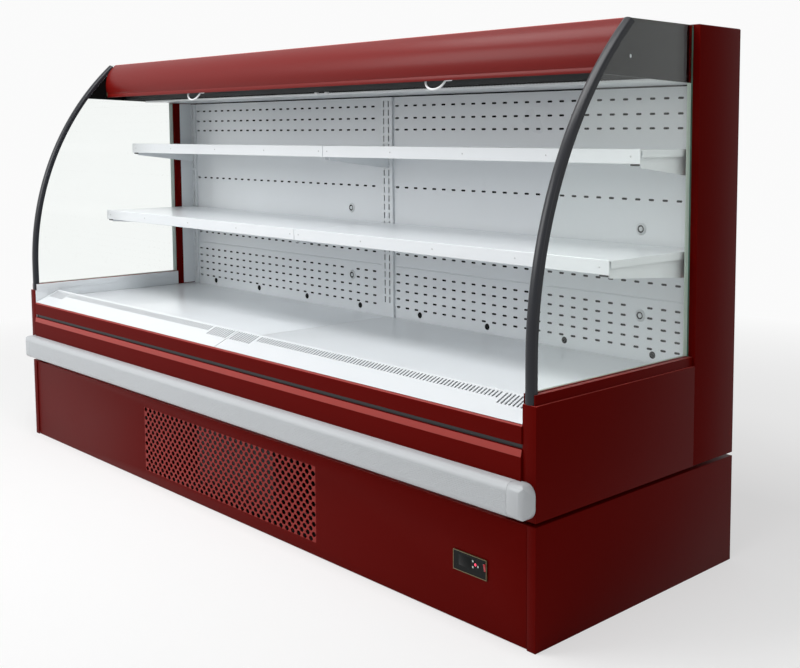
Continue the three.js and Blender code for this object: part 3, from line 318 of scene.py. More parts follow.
def tube(radius, corners, bend=30, sides=12):
    """A pipe through corner points, with each corner rounded."""
    at = [Vector(corner) for corner in corners]
    path = [at[0]]
    for before, corner, after in zip(at, at[1:], at[2:]):
        a = corner + (before - corner).normalized() * bend
        b = corner + (after - corner).normalized() * bend
        path += [a.lerp(corner, t).lerp(corner.lerp(b, t), t) for t in (0, 0.25, 0.5, 0.75, 1)]
    path.append(at[-1])
    across = (path[1] - path[0]).orthogonal().normalized()
    stations = []
    for i, point in enumerate(path):
        ahead = (path[min(i + 1, len(path) - 1)] - path[max(i - 1, 0)]).normalized()
        across = (across - ahead * across.dot(ahead)).normalized()
        up = ahead.cross(across)
        stations.append(lambda a, b, point=point, across=across, up=up: point + across * a + up * b)
    return swept(arc(0, 0, radius, 0, 360 - 360 / sides, sides - 1), stations)


def joined(*shapes):
    """Several shapes in one mesh; each keeps the finish of its faces."""
    whole = bmesh.new()
    for shape in shapes:
        mesh = bpy.data.meshes.new("joining")
        shape.to_mesh(mesh)
        whole.from_mesh(mesh)
        bpy.data.meshes.remove(mesh)
    return whole


def painted(shape, index, where=lambda centre, normal: True):
    """Gives the faces that pass the test the finish of that number."""
    for face in shape.faces:
        if where(face.calc_center_median(), face.normal):
            face.material_index = index
    return shape


def moved(shape, x=0, y=0, z=0, turn=0, axis="X"):
    """The shape turned about an axis through the origin, and then shifted."""
    matrix = Matrix.Translation((x, y, z)) @ Matrix.Rotation(math.radians(turn), 4, axis)
    bmesh.ops.transform(shape, matrix=matrix, verts=shape.verts)
    return shape


def mirrored(shape, side=-1):
    """The shape seen in a mirror at x = 0 for the left side, with its faces turned back out."""
    if side < 0:
        bmesh.ops.transform(shape, matrix=Matrix.Scale(-1, 4, (1, 0, 0)), verts=shape.verts)
        bmesh.ops.reverse_faces(shape, faces=shape.faces)
    return shape


def rounded(shape, width, segments=2, angle=30):
    """Every edge that is sharper than the angle gets a small round."""
    sharp = [edge for edge in shape.edges
             if edge.is_manifold and edge.calc_face_angle(0) > math.radians(angle)]
    bmesh.ops.bevel(shape, geom=sharp, offset=width, segments=segments, profile=0.5, affect="EDGES",
                    clamp_overlap=True, material=-1)
    return shape


# %% Finishing a piece
def as_shape(mesh):
    """A mesh as a shape, to be painted, joined or mirrored."""
    shape = bmesh.new()
    shape.from_mesh(mesh)
    return shape


def as_mesh(shape, name):
    """A shape as a mesh. What a node tree has grown is a mesh already."""
    if not isinstance(shape, bmesh.types.BMesh):
        return shape
    mesh = bpy.data.meshes.new(name)
    shape.to_mesh(mesh)
    shape.free()
    return mesh


def finished(name, shape, finishes, smooth=35):
    """An object in the frame, from a shape in millimetres."""
    mesh = as_mesh(shape, name)
    mesh.transform(TO_FRAME)
    painted_faces = [face.material_index for face in mesh.polygons]
    mesh.materials.clear()
    for material in finishes if isinstance(finishes, (list, tuple)) else [finishes]:
        mesh.materials.append(material)
    mesh.polygons.foreach_set("material_index", painted_faces)
    mesh.shade_smooth()
    mesh.set_sharp_from_angle(angle=math.radians(smooth))
    return linked(name, mesh)


def piece(name, shape, finishes, body="cabinet", replaces=(), smooth=35):
    """A finished object that rides on a body and stands for the CAD node that it replaces."""
    made = finished(name, shape, finishes, smooth)
    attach(made, body)
    if replaces:
        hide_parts(*([replaces] if isinstance(replaces, str) else replaces))
    return made


# %% [markdown]
# What repeats is grown by Geometry Nodes: hundreds of slots, holes, screws and fins come from a handful
# of named sizes. One tree sets copies of an object out on a grid, with every other row shifted if need
# be. A second tree uses the same grid to cut holes through a sheet, so that each hole is real and shows
# the thickness of the metal. Both could be done by Array modifiers, but those can't stagger the rows.

# %% Trees that repeat
GRID_SIZES = {
    "Copy": "NodeSocketObject", "Columns": "NodeSocketInt", "Rows": "NodeSocketInt",
    "Pitch Across": "NodeSocketFloat", "Pitch Up": "NodeSocketFloat", "Shift": "NodeSocketFloat",
    "Start": "NodeSocketVector", "Turn": "NodeSocketVector",
}


def maths(tree, operation, first, second):
    return node(tree, "ShaderNodeMath", {0: first, 1: second}, operation=operation).outputs[0]


def grid_tree(name, cuts):
    """Copies on a staggered grid that starts at a corner, added to the mesh or cut out of it."""
    tree = bpy.data.node_groups.new(name, "GeometryNodeTree")
    tree.interface.new_socket("Geometry", in_out="INPUT", socket_type="NodeSocketGeometry")
    for title, kind in GRID_SIZES.items():
        tree.interface.new_socket(title, in_out="INPUT", socket_type=kind)
    tree.interface.new_socket("Finish", in_out="INPUT", socket_type="NodeSocketMaterial")
    tree.interface.new_socket("Geometry", in_out="OUTPUT", socket_type="NodeSocketGeometry")
    given = node(tree, "NodeGroupInput").outputs
    count = maths(tree, "MULTIPLY", given["Columns"], given["Rows"])
    points = node(tree, "GeometryNodeMeshLine", {"Count": count, "Offset": (0, 0, 0)})
    index = node(tree, "GeometryNodeInputIndex").outputs[0]
    column = maths(tree, "FLOORED_MODULO", index, given["Columns"])
    row = maths(tree, "FLOOR", maths(tree, "DIVIDE", index, given["Columns"]), 0.0)
    stagger = maths(tree, "MULTIPLY", maths(tree, "FLOORED_MODULO", row, 2.0), given["Shift"])
    across = maths(tree, "ADD", maths(tree, "MULTIPLY", column, given["Pitch Across"]), stagger)
    up = maths(tree, "MULTIPLY", row, given["Pitch Up"])
    place = node(tree, "ShaderNodeCombineXYZ", {"X": across, "Z": up})
    spread = node(tree, "GeometryNodeSetPosition", {
        "Geometry": points.outputs[0], "Position": place.outputs[0],
    })
    copy = node(tree, "GeometryNodeObjectInfo", {"Object": given["Copy"]})
    copies = node(tree, "GeometryNodeInstanceOnPoints", {
        "Points": spread.outputs[0], "Instance": copy.outputs["Geometry"],
    })
    turn = node(tree, "FunctionNodeEulerToRotation", {"Euler": given["Turn"]})
    set_out = node(tree, "GeometryNodeTransform", {
        "Geometry": copies.outputs[0], "Translation": given["Start"], "Rotation": turn.outputs[0],
    })
    real = node(tree, "GeometryNodeRealizeInstances", {"Geometry": set_out.outputs[0]})
    if cuts:
        made = node(tree, "GeometryNodeMeshBoolean", operation="DIFFERENCE", solver="MANIFOLD")
        tree.links.new(given["Geometry"], made.inputs["Mesh 1"])
        tree.links.new(real.outputs[0], made.inputs["Mesh 2"])
        made = made.outputs["Mesh"]
    else:
        made = node(tree, "GeometryNodeJoinGeometry")
        tree.links.new(real.outputs[0], made.inputs[0])
        tree.links.new(given["Geometry"], made.inputs[0])
        made = made.outputs[0]
    dressed = node(tree, "GeometryNodeSetMaterial", {"Geometry": made, "Material": given["Finish"]})
    node(tree, "NodeGroupOutput", {0: dressed.outputs[0]})
    return tree


COPIES = grid_tree("copies_on_a_grid", cuts=False)
HOLES = grid_tree("holes_on_a_grid", cuts=True)


def as_object(shape, name="draft"):
    """A shape, or a mesh, as an object for a node tree to work on."""
    return linked(name, as_mesh(shape, name))


def grown(tree, shape, finish_material, copy, **sizes):
    """The mesh that a grid tree makes from a shape and a copy, with the modifier taken off again."""
    base, copied = as_object(shape), as_object(copy, "copied")
    modifier = base.modifiers.new("grid", "NODES")
    modifier.node_group = tree
    values = {"Copy": copied, "Finish": finish_material, "Shift": 0.0, "Turn": (0.0, 0.0, 0.0), **sizes}
    for item in tree.interface.items_tree:
        if item.in_out == "INPUT" and item.name in values:
            modifier[item.identifier] = values[item.name]
    bpy.context.view_layer.update()
    mesh = bpy.data.meshes.new_from_object(base.evaluated_get(bpy.context.evaluated_depsgraph_get()))
    for used in (base, copied):
        bpy.data.objects.remove(used)
    mesh.materials.clear()  # every face goes back to the first finish, to be painted anew
    return mesh


def grid(columns, rows, across, up, start, **more):
    """The sizes of a grid in the words of the trees."""
    return {"Columns": columns, "Rows": rows, "Pitch Across": float(across), "Pitch Up": float(up),
            "Start": tuple(float(v) for v in start), **more}


def pierced(shape, material, tool, start=(0, 0, 0)):
    """The shape with one hole, cut by the same tree."""
    return grown(HOLES, shape, material, tool, **grid(1, 1, 1, 1, start))


print("trees", [tree.name for tree in (COPIES, HOLES)])

# %% [markdown]
# The studio: a pale floor and a pale world. The camera sees them as white, also through glass and in
# polished metal, while the diffuse light that they give is at a plain level. The floor mixes its own
# white with real light, so that it keeps the soft shadow of the cabinet, and it is all white far away,
# where it meets the world without a line.

# %% Floor and world
PALE = (0.96, 0.96, 0.96, 1)
FLOOR_SIZE = 40.0
FLOOR_WHITE_SHARE = 0.55
SHADOW_REACH = (1.6, 4.0)  # metres from the middle: where the floor starts to turn white, and is white
WORLD_LIGHT = 0.3


def seen_directly(tree):
    """1 for a ray from the camera, a mirror or a pane, and 0 for a ray of diffuse light."""
    ray = node(tree, "ShaderNodeLightPath").outputs
    either = maths(tree, "MAXIMUM", ray["Is Camera Ray"], ray["Is Glossy Ray"])
    return maths(tree, "MAXIMUM", either, ray["Is Transmission Ray"])


world = bpy.data.worlds.new("studio")
bpy.context.scene.world = world
world.use_nodes = True
strength = node(world.node_tree, "ShaderNodeMapRange", {
    "Value": seen_directly(world.node_tree), "To Min": WORLD_LIGHT, "To Max": 1.0,
})
background = world.node_tree.nodes["Background"]
background.inputs["Color"].default_value = PALE
world.node_tree.links.new(strength.outputs[0], background.inputs["Strength"])

floor_finish = bpy.data.materials.new("pale_floor")
floor_finish.use_nodes = True
tree = floor_finish.node_tree
tree.nodes.clear()
lit = node(tree, "ShaderNodeBsdfDiffuse", {"Color": PALE})
white = node(tree, "ShaderNodeEmission", {"Color": PALE, "Strength": 1.0})
place = node(tree, "ShaderNodeTexCoord").outputs["Object"]
far = node(tree, "ShaderNodeVectorMath", {0: place}, operation="LENGTH").outputs["Value"]
fade = node(tree, "ShaderNodeMapRange", {
    "Value": far, "From Min": SHADOW_REACH[0], "From Max": SHADOW_REACH[1],
    "To Min": FLOOR_WHITE_SHARE, "To Max": 1.0,
})
share = maths(tree, "MULTIPLY", seen_directly(tree), fade.outputs[0])
mixed = node(tree, "ShaderNodeMixShader", {0: share, 1: lit.outputs[0], 2: white.outputs[0]})
node(tree, "ShaderNodeOutputMaterial", {"Surface": mixed.outputs[0]})

floor_mesh = bpy.data.meshes.new("floor")
half = FLOOR_SIZE / 2
corners = [(-half, -half, 0), (half, -half, 0), (half, half, 0), (-half, half, 0)]
floor_mesh.from_pydata(corners, [], [(0, 1, 2, 3)])
floor_mesh.materials.append(floor_finish)
floor = linked("floor", floor_mesh)
print("floor and world")

# %% [markdown]
# Three soft lamps. The big one stands high in front and to the left, so that the front is brighter than
# the right-hand side, as in the photograph. A long one above lies along the canopy and draws the bright
# band on its curve. A weak one on the right opens up the shadows behind the glass.

# %% Lamps
LAMPS = {
    "key": {"place": (-2.2, -3.6, 2.6), "aim": (0, 0, 0.6), "size": (2.6, 2.0), "power": 88},
    "top": {"place": (0, -0.9, 3.4), "aim": (0, 0, 1.0), "size": (3.4, 1.2), "power": 72},
    "side": {"place": (3.6, -1.6, 1.9), "aim": (0.6, 0, 0.8), "size": (1.4, 1.6), "power": 8},
}
for name, lamp in LAMPS.items():
    data = bpy.data.lights.new(name, "AREA")
    data.shape = "RECTANGLE"
    data.size, data.size_y = lamp["size"]
    data.energy = lamp["power"]
    lamp_object = linked(name, data)
    lamp_object.location = lamp["place"]
    ahead = Vector(lamp["aim"]) - Vector(lamp["place"])
    lamp_object.rotation_euler = ahead.to_track_quat("-Z", "Y").to_euler()
bpy.context.scene.view_settings.view_transform = "Standard"
print("lamps", list(LAMPS))

# %% [markdown]
# Some CAD solids already have the right form and only lack the small rounds of folded sheet and of
# sprayed edges, which catch the light. A CAD node may not be changed, so we copy its mesh, merge its
# loose triangles, join the flat ones into whole faces and round the edges of the copy.


# %% A rounded copy of a CAD node
def cad_shape(name):
    shape = as_shape(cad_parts[name].data)
    bmesh.ops.transform(shape, matrix=TO_FRAME.inverted(), verts=shape.verts)
    bmesh.ops.remove_doubles(shape, verts=shape.verts, dist=0.01)
    bmesh.ops.dissolve_limit(shape, angle_limit=math.radians(0.5), verts=shape.verts, edges=shape.edges)
    return shape


def dressed(name, finishes, width=1.0, body="cabinet", slot=None, paint=None):
    """A rounded copy of a CAD node that stands for it. paint may give some faces another finish."""
    shape = cad_shape(name)
    if paint:
        paint(shape)
    return piece(name + "_skin", rounded(shape, width), finishes, body, name)


for side in SIDES:
    dressed("base_side_" + side, red_paint, slot="red_paint")
dressed("base_plate", satin_black, 0.8, slot="black_metal")
print("base sides and floor plate")

# %% [markdown]
# The service panel is one folded sheet that hooks into the base, and air goes in through a field of
# six-sided holes in staggered rows. The field could be a picture on a flat sheet, but real holes show
# their edges when you walk past. So the `holes` tree cuts some five hundred prisms through the sheet.

# %% Service panel
SHEET = 2
PANEL_HALF = 1262
PANEL_Z = (2, BASE.z1 - 3.3)
PANEL_FACE = 2
HOLE_TIP, HOLE_FLAT = 9.9, 6.6  # half a hole across its tips and across its flats
HOLE_PITCH = 28
HOLE_ROWS, HOLE_COLUMNS = 15, 33
HOLE_START = (-430.5, 45)
CONTROL = span("controller_housing")

BEZEL_LIP = 2.6
FIELD_RIM = 0.3
CUT = 5  # how far a cutting block stands out of the sheet

low, high = PANEL_Z
back = PANEL_FACE + SHEET
panel_outline = [
    (PANEL_FACE, low), (back, low), (back, low + 2.3), (30, low + 2.3), (30, low + 4.3), (back, low + 4.3),
    (back, high - SHEET), (18, high - SHEET), (18, high), (PANEL_FACE, high),
]
hexagon = [
    (HOLE_TIP, 0), (HOLE_TIP / 2, HOLE_FLAT), (-HOLE_TIP / 2, HOLE_FLAT),
    (-HOLE_TIP, 0), (-HOLE_TIP / 2, -HOLE_FLAT), (HOLE_TIP / 2, -HOLE_FLAT),
]
first_x, first_z = HOLE_START
last_x = first_x + (HOLE_COLUMNS - 0.5) * HOLE_PITCH
last_z = first_z + (HOLE_ROWS - 1) * HOLE_PITCH / 2
beside, above = HOLE_TIP + FIELD_RIM, HOLE_FLAT + FIELD_RIM
field = Span(first_x - beside, last_x + beside, PANEL_FACE, back, first_z - above, last_z + above)
opening = Span(CONTROL.x0 + BEZEL_LIP, CONTROL.x1 - BEZEL_LIP, PANEL_FACE, back,
               CONTROL.z0 + BEZEL_LIP, CONTROL.z1 - BEZEL_LIP)
panel = rounded(prism(panel_outline, -PANEL_HALF, PANEL_HALF), 0.7)
for gap in (field, opening):
    tool = block(0, gap.x1 - gap.x0, -CUT, CUT, 0, gap.z1 - gap.z0)
    panel = pierced(panel, red_paint, tool, (gap.x0, PANEL_FACE, gap.z0))
# The webs of the hole field are a lighter red than the panel: painted highlight on the same paint.
mesh_field = grown(HOLES, block(*field), vent_highlight_red, prism(hexagon, -CUT - 1, CUT + 1, "y"), **grid(
    HOLE_COLUMNS, HOLE_ROWS, HOLE_PITCH, HOLE_PITCH / 2, (first_x, PANEL_FACE, first_z),
    Shift=HOLE_PITCH / 2))
# The panel's top face is painted paler red: painted highlight.
panel = painted(as_shape(panel), 1, lambda c, n: abs(c.z - PANEL_Z[1]) < 1 and n.z > 0.5)
piece("service_panel_skin", panel, [red_paint, highlight_red], replaces="service_panel")
piece("vent_field", mesh_field, vent_highlight_red)
print("holes", HOLE_ROWS * HOLE_COLUMNS)

# %% [markdown]
# The back of the base is a plain sheet with louvres and a gland for the supply cord. Each louvre is a
# slot with a pressed hood above it. One hood is drawn, and the grid tree sets it out over every slot.

# %% Back of the base
LOUVRE_ROWS, LOUVRE_PITCH, LOUVRE_LOW = 8, 24, 60
LOUVRE_X = (200, BAY - 250)
BACK_SHEET = span("base_back_panel")
dressed("base_back_panel", red_paint, 0.5, slot="red_paint")
hood_outline = [(0, 15), (0.6, 15), (BASE.y1 - BACK_SHEET.y1 - 0.4, 9), (2.6, 8), (0, 13)]
hood = rounded(prism(hood_outline, 0, LOUVRE_X[1] - LOUVRE_X[0] + 8), 0.3, 1)
hoods = grown(COPIES, bmesh.new(), red_paint, hood, **grid(
    1, LOUVRE_ROWS, 1, LOUVRE_PITCH, (LOUVRE_X[0] - 4, BACK_SHEET.y1, LOUVRE_LOW)))
piece("louvre_hoods", hoods, red_paint)
dressed("cord_gland", satin_black, 0.6, slot="black_plastic")
print("louvres", LOUVRE_ROWS)

# %% [markdown]
# A screw is a low dome with a cross recess, drawn once with few faces, and the same tree sets it out
# along the back. Anything turned on a lathe that sits on a face, such as a plug or a key, is a knob.

# %% Screws
def knob(profile, steps):
    """A turned (radius, height) shape on a face at y = 0, that faces the front."""
    return moved(lathed(profile, (0, 0, 0), "y", steps), turn=180, axis="Z")


def screw(radius=4, rise=1.6, steps=14):
    """A domed head with a cross recess, that sits on a face at y = 0 and faces the front."""
    profile = [(0, rise), (radius * 0.5, rise * 0.9), (radius * 0.85, rise * 0.5), (radius, 0), (0, -0.5)]
    half = radius * 0.55
    cross = [moved(block(-half, half, -rise * 1.15, -rise * 0.8, -0.5, 0.5), turn=turn, axis="Y")
             for turn in (0, 90)]
    return joined(knob(profile, steps), *(painted(bar, 1) for bar in cross))


BACK_SCREWS = (7, 2)
BACK_SCREW_PITCH = ((BAY * 2 - 80) / 6, 235)
heads = grown(COPIES, bmesh.new(), bare_steel, moved(screw(5), turn=180, axis="Z"), **grid(
    *BACK_SCREWS, *BACK_SCREW_PITCH, (-BAY + 40, BACK_SHEET.y1, 25)))
piece("base_back_screws", heads, bare_steel)
print("screws on the back", BACK_SCREWS[0] * BACK_SCREWS[1])

# %% [markdown]
# The controller clips into the service panel: a thin metallic bezel, a black glossy plate with a dark
# display window, three small round keys, a signal lamp and the red rocker of the mains switch. The
# window stays unlit and bare.

# %% Controller
BEZEL = 1.6
KEYS = {name: span(name) for name in ("key_up", "key_down", "key_set")}
ROCKER = span("power_rocker")
SIGNAL_X, SIGNAL_Z, SIGNAL_RADIUS = 1105, 151, 3.6
WINDOW_X, WINDOW_Z = (1050, 1090), (137, 163)
KEY_HOLE = 3.3
BOX_INSET = 3.2
DEEP = 9  # how far a cutting tool reaches through the plate

c = CONTROL
behind = PANEL_FACE - 0.1  # the bezel and the plate end just in front of the panel
bars = [
    (c.x0, c.x1, c.z0, c.z0 + BEZEL), (c.x0, c.x1, c.z1 - BEZEL, c.z1),
    (c.x0, c.x0 + BEZEL, c.z0 + BEZEL, c.z1 - BEZEL), (c.x1 - BEZEL, c.x1, c.z0 + BEZEL, c.z1 - BEZEL),
]
bezel = joined(*(block(x0, x1, c.y0, behind, z0, z1) for x0, x1, z0, z1 in bars))
piece("controller_bezel", rounded(bezel, 0.3), olive_metal)
plate = block(c.x0 + BEZEL, c.x1 - BEZEL, c.y0 + 0.5, behind, c.z0 + BEZEL, c.z1 - BEZEL)
rocker_hole = block(0, ROCKER.x1 - ROCKER.x0 + 1, -DEEP, DEEP, 0, ROCKER.z1 - ROCKER.z0 + 1)
plate = pierced(plate, gloss_black, rocker_hole, (ROCKER.x0 - 0.5, 0, ROCKER.z0 - 0.5))
for key in KEYS.values():
    middle = ((key.x0 + key.x1) / 2, 0, (key.z0 + key.z1) / 2)
    plate = pierced(plate, gloss_black, rod(KEY_HOLE, (0, 0), -DEEP, DEEP, "y"), middle)
piece("controller_plate", plate, window_black)
window = rounded(block(*WINDOW_X, c.y0 + 0.2, c.y0 + 1, *WINDOW_Z), 0.3)
piece("display_window", window, window_black)
lens = knob([(0, 0.9), (SIGNAL_RADIUS * 0.7, 0.7), (SIGNAL_RADIUS, 0)], 32)
piece("signal_lamp", moved(lens, SIGNAL_X, c.y0 + 0.5, SIGNAL_Z), lamp_red)
box = block(c.x0 + BOX_INSET, c.x1 - BOX_INSET, PANEL_FACE + 0.2, c.y1, c.z0 + BOX_INSET, c.z1 - BOX_INSET)
piece("controller_box", rounded(box, 1.0), satin_black, replaces="controller_housing")

for name, key in KEYS.items():
    front = key.y0
    profile = [(0, front), (1.5, front), (1.6, front + 0.15), (2.5, front + 0.25), (3, front + 0.8),
               (3, key.y1), (0, key.y1)]
    cap = knob([(radius, -depth) for radius, depth in profile][::-1], 24)
    moved(cap, (key.x0 + key.x1) / 2, 0, (key.z0 + key.z1) / 2)
    painted(cap, 1, lambda centre, normal: centre.y < front + 0.35)
    piece(name + "_cap", cap, [satin_black, key_white], name, name)
dressed("power_rocker", rocker_red, 0.5, "power_rocker", "red_plastic")
print("controller", [round(v) for v in CONTROL])

# %% [markdown]
# The refrigeration unit hides behind the service panel, but the panel is full of holes, so a little of
# it gets seen. The condenser is a block of fins with a shroud and a fan that pulls air through it. So
# far inside, the CAD's own forms are enough, with rounded edges. The coil, the shroud and the bulkhead
# are painted near-black as painted shade, since behind the holes only darkness shows.

# %% Condenser
# The coil, the shroud and the bulkhead are painted near-black: painted shade behind the vent holes.
dressed("condenser_coil", shade_dark_metal, 0.5, slot="finned_block")
dressed("condenser_shroud", shade_dark_metal, 0.6, slot="galvanised")
dressed("evaporation_tray", galvanised, 0.6, slot="galvanised")
dressed("base_bulkhead", shade_dark_metal, 0.3, slot="galvanised")
print("condenser, shroud, tray and bulkhead")

# %% [markdown]
# A fan blade is a twisted sheet: steep at the hub, flatter at the tip, and wider as it goes out. A flat
# plate would show no light moving along it. Both sizes of wheel come from one function.

# %% Fans
def wheel(radius, hub, depth, blades=5, steep=38, flat=20, chord=0.62, rings=6, across=5, thick=1.2):
    """A fan about the y axis: a domed hub and twisted blades."""
    dome = [(0, depth * 0.55), (hub * 0.7, depth * 0.5), (hub, depth * 0.3), (hub, -depth * 0.5),
            (0, -depth * 0.5)]
    shapes = [lathed(dome, (0, 0, 0), "y", 28)]
    for number in range(blades):
        points = []
        for side in (-thick / 2, thick / 2):
            for ring in range(rings + 1):
                out = ring / rings
                r = hub * 0.9 + (radius - hub * 0.9) * out
                pitch = math.radians(steep + (flat - steep) * out)
                width = hub * 0.9 + (radius * chord - hub * 0.9) * out ** 0.8
                for step in range(across + 1):
                    t = step / across - 0.5
                    curl = 0.12 * width * (0.25 - t * t)
                    along, rise = t * width * math.cos(pitch), t * width * math.sin(pitch) + curl + side
                    turn = along / r + math.tau * number / blades
                    rise = max(-depth / 2, min(depth / 2, rise))
                    points.append((r * math.cos(turn), rise, r * math.sin(turn)))
        shapes.append(slab(points, across, rings))
    return joined(*shapes)


HUB_SHARE, WHEEL_DEPTH = 0.29, 15
BLADES_BACK = 8  # the blades stand in front of their motor; the shaft behind them reaches into it
for name in ("condenser_fan", "evaporator_fan_left", "evaporator_fan_right"):
    f = span(name)
    radius = (f.x1 - f.x0) / 2 - 0.3
    middle_x, middle_z = (f.x0 + f.x1) / 2, (f.z0 + f.z1) / 2
    rotor = moved(wheel(radius, radius * HUB_SHARE, WHEEL_DEPTH), middle_x, f.y0 + BLADES_BACK, middle_z)
    shaft = rod(4, (middle_x, middle_z), f.y0 + 2, f.y1 - 0.5, "y", 16)
    piece(name + "_wheel", joined(rotor, shaft), fin_metal, name, name)
    print(name, [round(v, 1) for v in f])

# %% [markdown]
# A hermetic compressor is a pot of pressed steel: a lower and an upper shell with a weld seam round the
# middle, a box for the electrics, and feet on rubber. It is never seen whole, so the CAD's pot is kept.

# %% Compressor
dressed("compressor", shell_black, 1.5, slot="black_metal")
print("compressor", [round(v) for v in span("compressor")])

# %% [markdown]
# The insulated body is foam between two sheets. We see it as three things: the deep red skin of the
# sides, back and roof, the white lining inside, and the well that holds the cooling. The well, its
# drain and the pipes are lined parts seen only when the trays are lifted, so their CAD form is kept
# and gets rounded edges.

# %% Insulated body
dressed("insulated_well", white_lining, 1.0, slot="foam_panel_lining")
dressed("drain_pipe", bumper_grey, 0.5, slot="grey_plastic")

def never(centre, normal):
    return False


def skin_of(name, inner_white, width, highlight_rim=never):
    """A CAD solid with rounded edges: its shopping side is white, and its top rims are painted paler red as
    painted highlight.
    """
    return dressed(name, [red_paint, white_enamel, highlight_red], width, slot="foam_panel_red",
                   paint=lambda shape: painted(painted(shape, 1, inner_white), 2, highlight_rim))


for side, sign in SIDES.items():
    # The top rims of the end panels get the paler red: painted highlight.
    skin_of("end_panel_" + side, lambda c, n, sign=sign: n.x * sign < -0.9 and abs(c.x) < BAY + 1, 0.8,
            lambda c, n: n.z > 0.9 and c.z > END_PANEL.z1 - 24)
    skin_of("rear_post_" + side, never, 1.2)
dressed("back_wall", [red_paint, shadow_black], 0.8, slot="foam_panel_red",
        paint=lambda shape: painted(shape, 1, lambda c, n: n.y < -0.9))
skin_of("roof_panel", lambda c, n: n.z < -0.9, 0.8)
dressed("refrigerant_lines", copper_tube, 0.4, slot="copper")
print("body")

# %% [markdown]
# The rear posts carry a white lining strip inside the glass, which hides the joint with the duct
# panels. It stands between the deck and the ceiling.

# %% Post linings
LINING = {"y0": 615, "y1": 665.5, "thick": 0.8}
DECK = span("deck_tray_right")
CEILING = span("ceiling_lining")
DUCT = span("back_duct_right")
UPRIGHT = span("upright_centre")
for side, sign in SIDES.items():
    lining = block(BAY - 0.2, BAY - LINING["thick"], LINING["y0"], LINING["y1"], DECK.z1 + 2, CEILING.z0 - 2)
    piece("post_lining_" + side, mirrored(rounded(lining, 0.2, 1), sign), white_enamel)
print("linings")

# %% [markdown]
# The glass ends are clear panes held in a black D-shaped trim that rises straight from the end panel and
# then leans back in a long arc. The CAD's arc has sixteen steps; here it gets enough to look drawn by a
# compass, and the section is a true half round with a groove for the glass.

# %% Glass ends
TRIM = span("glass_trim_right")
PANE = span("end_glass_right")
CHEEK = span("canopy_end_right")
TRIM_STEPS = 48
ARC_FROM = END_PANEL.z1 - 23 + 90  # where the straight part ends and the arc begins
ARC_TOP = span("roof_panel").z1
LEAN = 330.07
ARC_RADIUS = ((ARC_TOP - ARC_FROM) ** 2 + LEAN ** 2) / (2 * LEAN)


def front_line(inset, top, steps=TRIM_STEPS):
    """The line of a glass end's front edge, moved inwards: (y, z) points."""
    radius = ARC_RADIUS - inset
    lean = math.degrees(math.asin((top - ARC_FROM) / radius))
    return arc(ARC_RADIUS, ARC_FROM, radius, 180, 180 - lean, steps)


def trim():
    half = (TRIM.x1 - TRIM.x0) / 2
    middle = (TRIM.x1 + TRIM.x0) / 2
    slot, groove, deep, nose = 4.3, 7, 16, 7
    wide = half - 0.6
    turns = [math.radians(degrees) for degrees in range(10, 180, 10)]
    outline = [(-half, deep), (-wide, nose)]
    outline += [(-wide * math.cos(turn), nose - nose * math.sin(turn)) for turn in turns]
    outline += [(wide, nose), (half, deep), (slot, deep), (slot, deep - groove), (-slot, deep - groove),
                (-slot, deep)]
    outline = [(middle + x, depth) for x, depth in outline]
    stations = [lambda x, depth: Vector((x, depth, TRIM.z0))]
    for y, z in front_line(0, TRIM.z1):
        back, up = (ARC_RADIUS - y) / ARC_RADIUS, (ARC_FROM - z) / ARC_RADIUS
        stations.append(lambda x, depth, y=y, z=z, back=back, up=up: Vector(
            (x, y + depth * back, z + depth * up)))
    return swept(outline, stations)


PANE_INSET, CHEEK_INSET = 9.3, 16.8  # from the trim's front line to the front edges
STRIP_FROM, SEAL_Y = 574, (22, 572)
PIN_HOLE = 5.1
ROLLER = span("blind_roller_right")
ROLL_AXIS = ((ROLLER.y0 + ROLLER.y1) / 2, (ROLLER.z0 + ROLLER.z1) / 2)
for side, sign in SIDES.items():
    piece("trim_" + side, mirrored(trim(), sign), trim_black,
          replaces="glass_trim_" + side)
    outline = [(PANE.y1, PANE.z0), (PANE_INSET, PANE.z0), *front_line(PANE_INSET, PANE.z1), (PANE.y1, PANE.z1)]
    pane = rounded(prism(outline, PANE.x0, PANE.x1), 0.5, 1)
    painted(pane, 1, lambda c, n: abs(n.x) < 0.8)
    piece("pane_" + side, mirrored(pane, sign), [clear_glass, green_edge],
          replaces="end_glass_" + side)
    strip = block(PANE.x0 - 1.6, PANE.x0 - 0.2, STRIP_FROM, PANE.y1, END_PANEL.z1 + 1, CHEEK.z0 - 1)
    piece("pane_strip_" + side, mirrored(rounded(strip, 0.3, 1), sign), pale_strip)
    seal = tube(1.6, [(PANE.x0 - 2.3, y, END_PANEL.z1 + 2.4) for y in SEAL_Y], 3, 8)
    piece("channel_seal_" + side, mirrored(seal, sign), pale_strip)
    outline = [point for point in front_line(CHEEK_INSET, CHEEK.z1) if point[1] >= CHEEK.z0]
    outline += [(CHEEK.y1, CHEEK.z1), (CHEEK.y1, CHEEK.z0)]
    cheek = prism(outline, CHEEK.x0, CHEEK.x1)
    cheek = pierced(cheek, gloss_black, rod(PIN_HOLE, ROLL_AXIS, -DEEP, DEEP), (BAY, 0, 0))
    piece("cheek_" + side, mirrored(as_shape(cheek), sign), gloss_black,
          replaces="canopy_end_" + side)
print("glass ends", [round(v) for v in PANE])

# %% [markdown]
# The top of the canopy is one curved sheet, with a crease near its foot and a brighter rolled lip
# below it. The curve catches the lamp along its whole length, which is why it gets forty steps
# instead of the CAD's sixteen. Its red is a brighter copy of the body's paint, and its top edge is
# painted paler still: both are painted light. The bracket that holds the blinds' middle pins hangs behind it.

# %% Canopy
FASCIA = span("canopy_fascia")
FASCIA_AXIS = (402, ARC_TOP - 82)
FASCIA_RADIUS = 100
FASCIA_SHEET = 1.5
CREASE_Z = 1288

def height_angle(z, radius):
    """Where the fascia's arc passes a height, in degrees."""
    return 180 - math.degrees(math.asin((z - FASCIA_AXIS[1]) / radius))


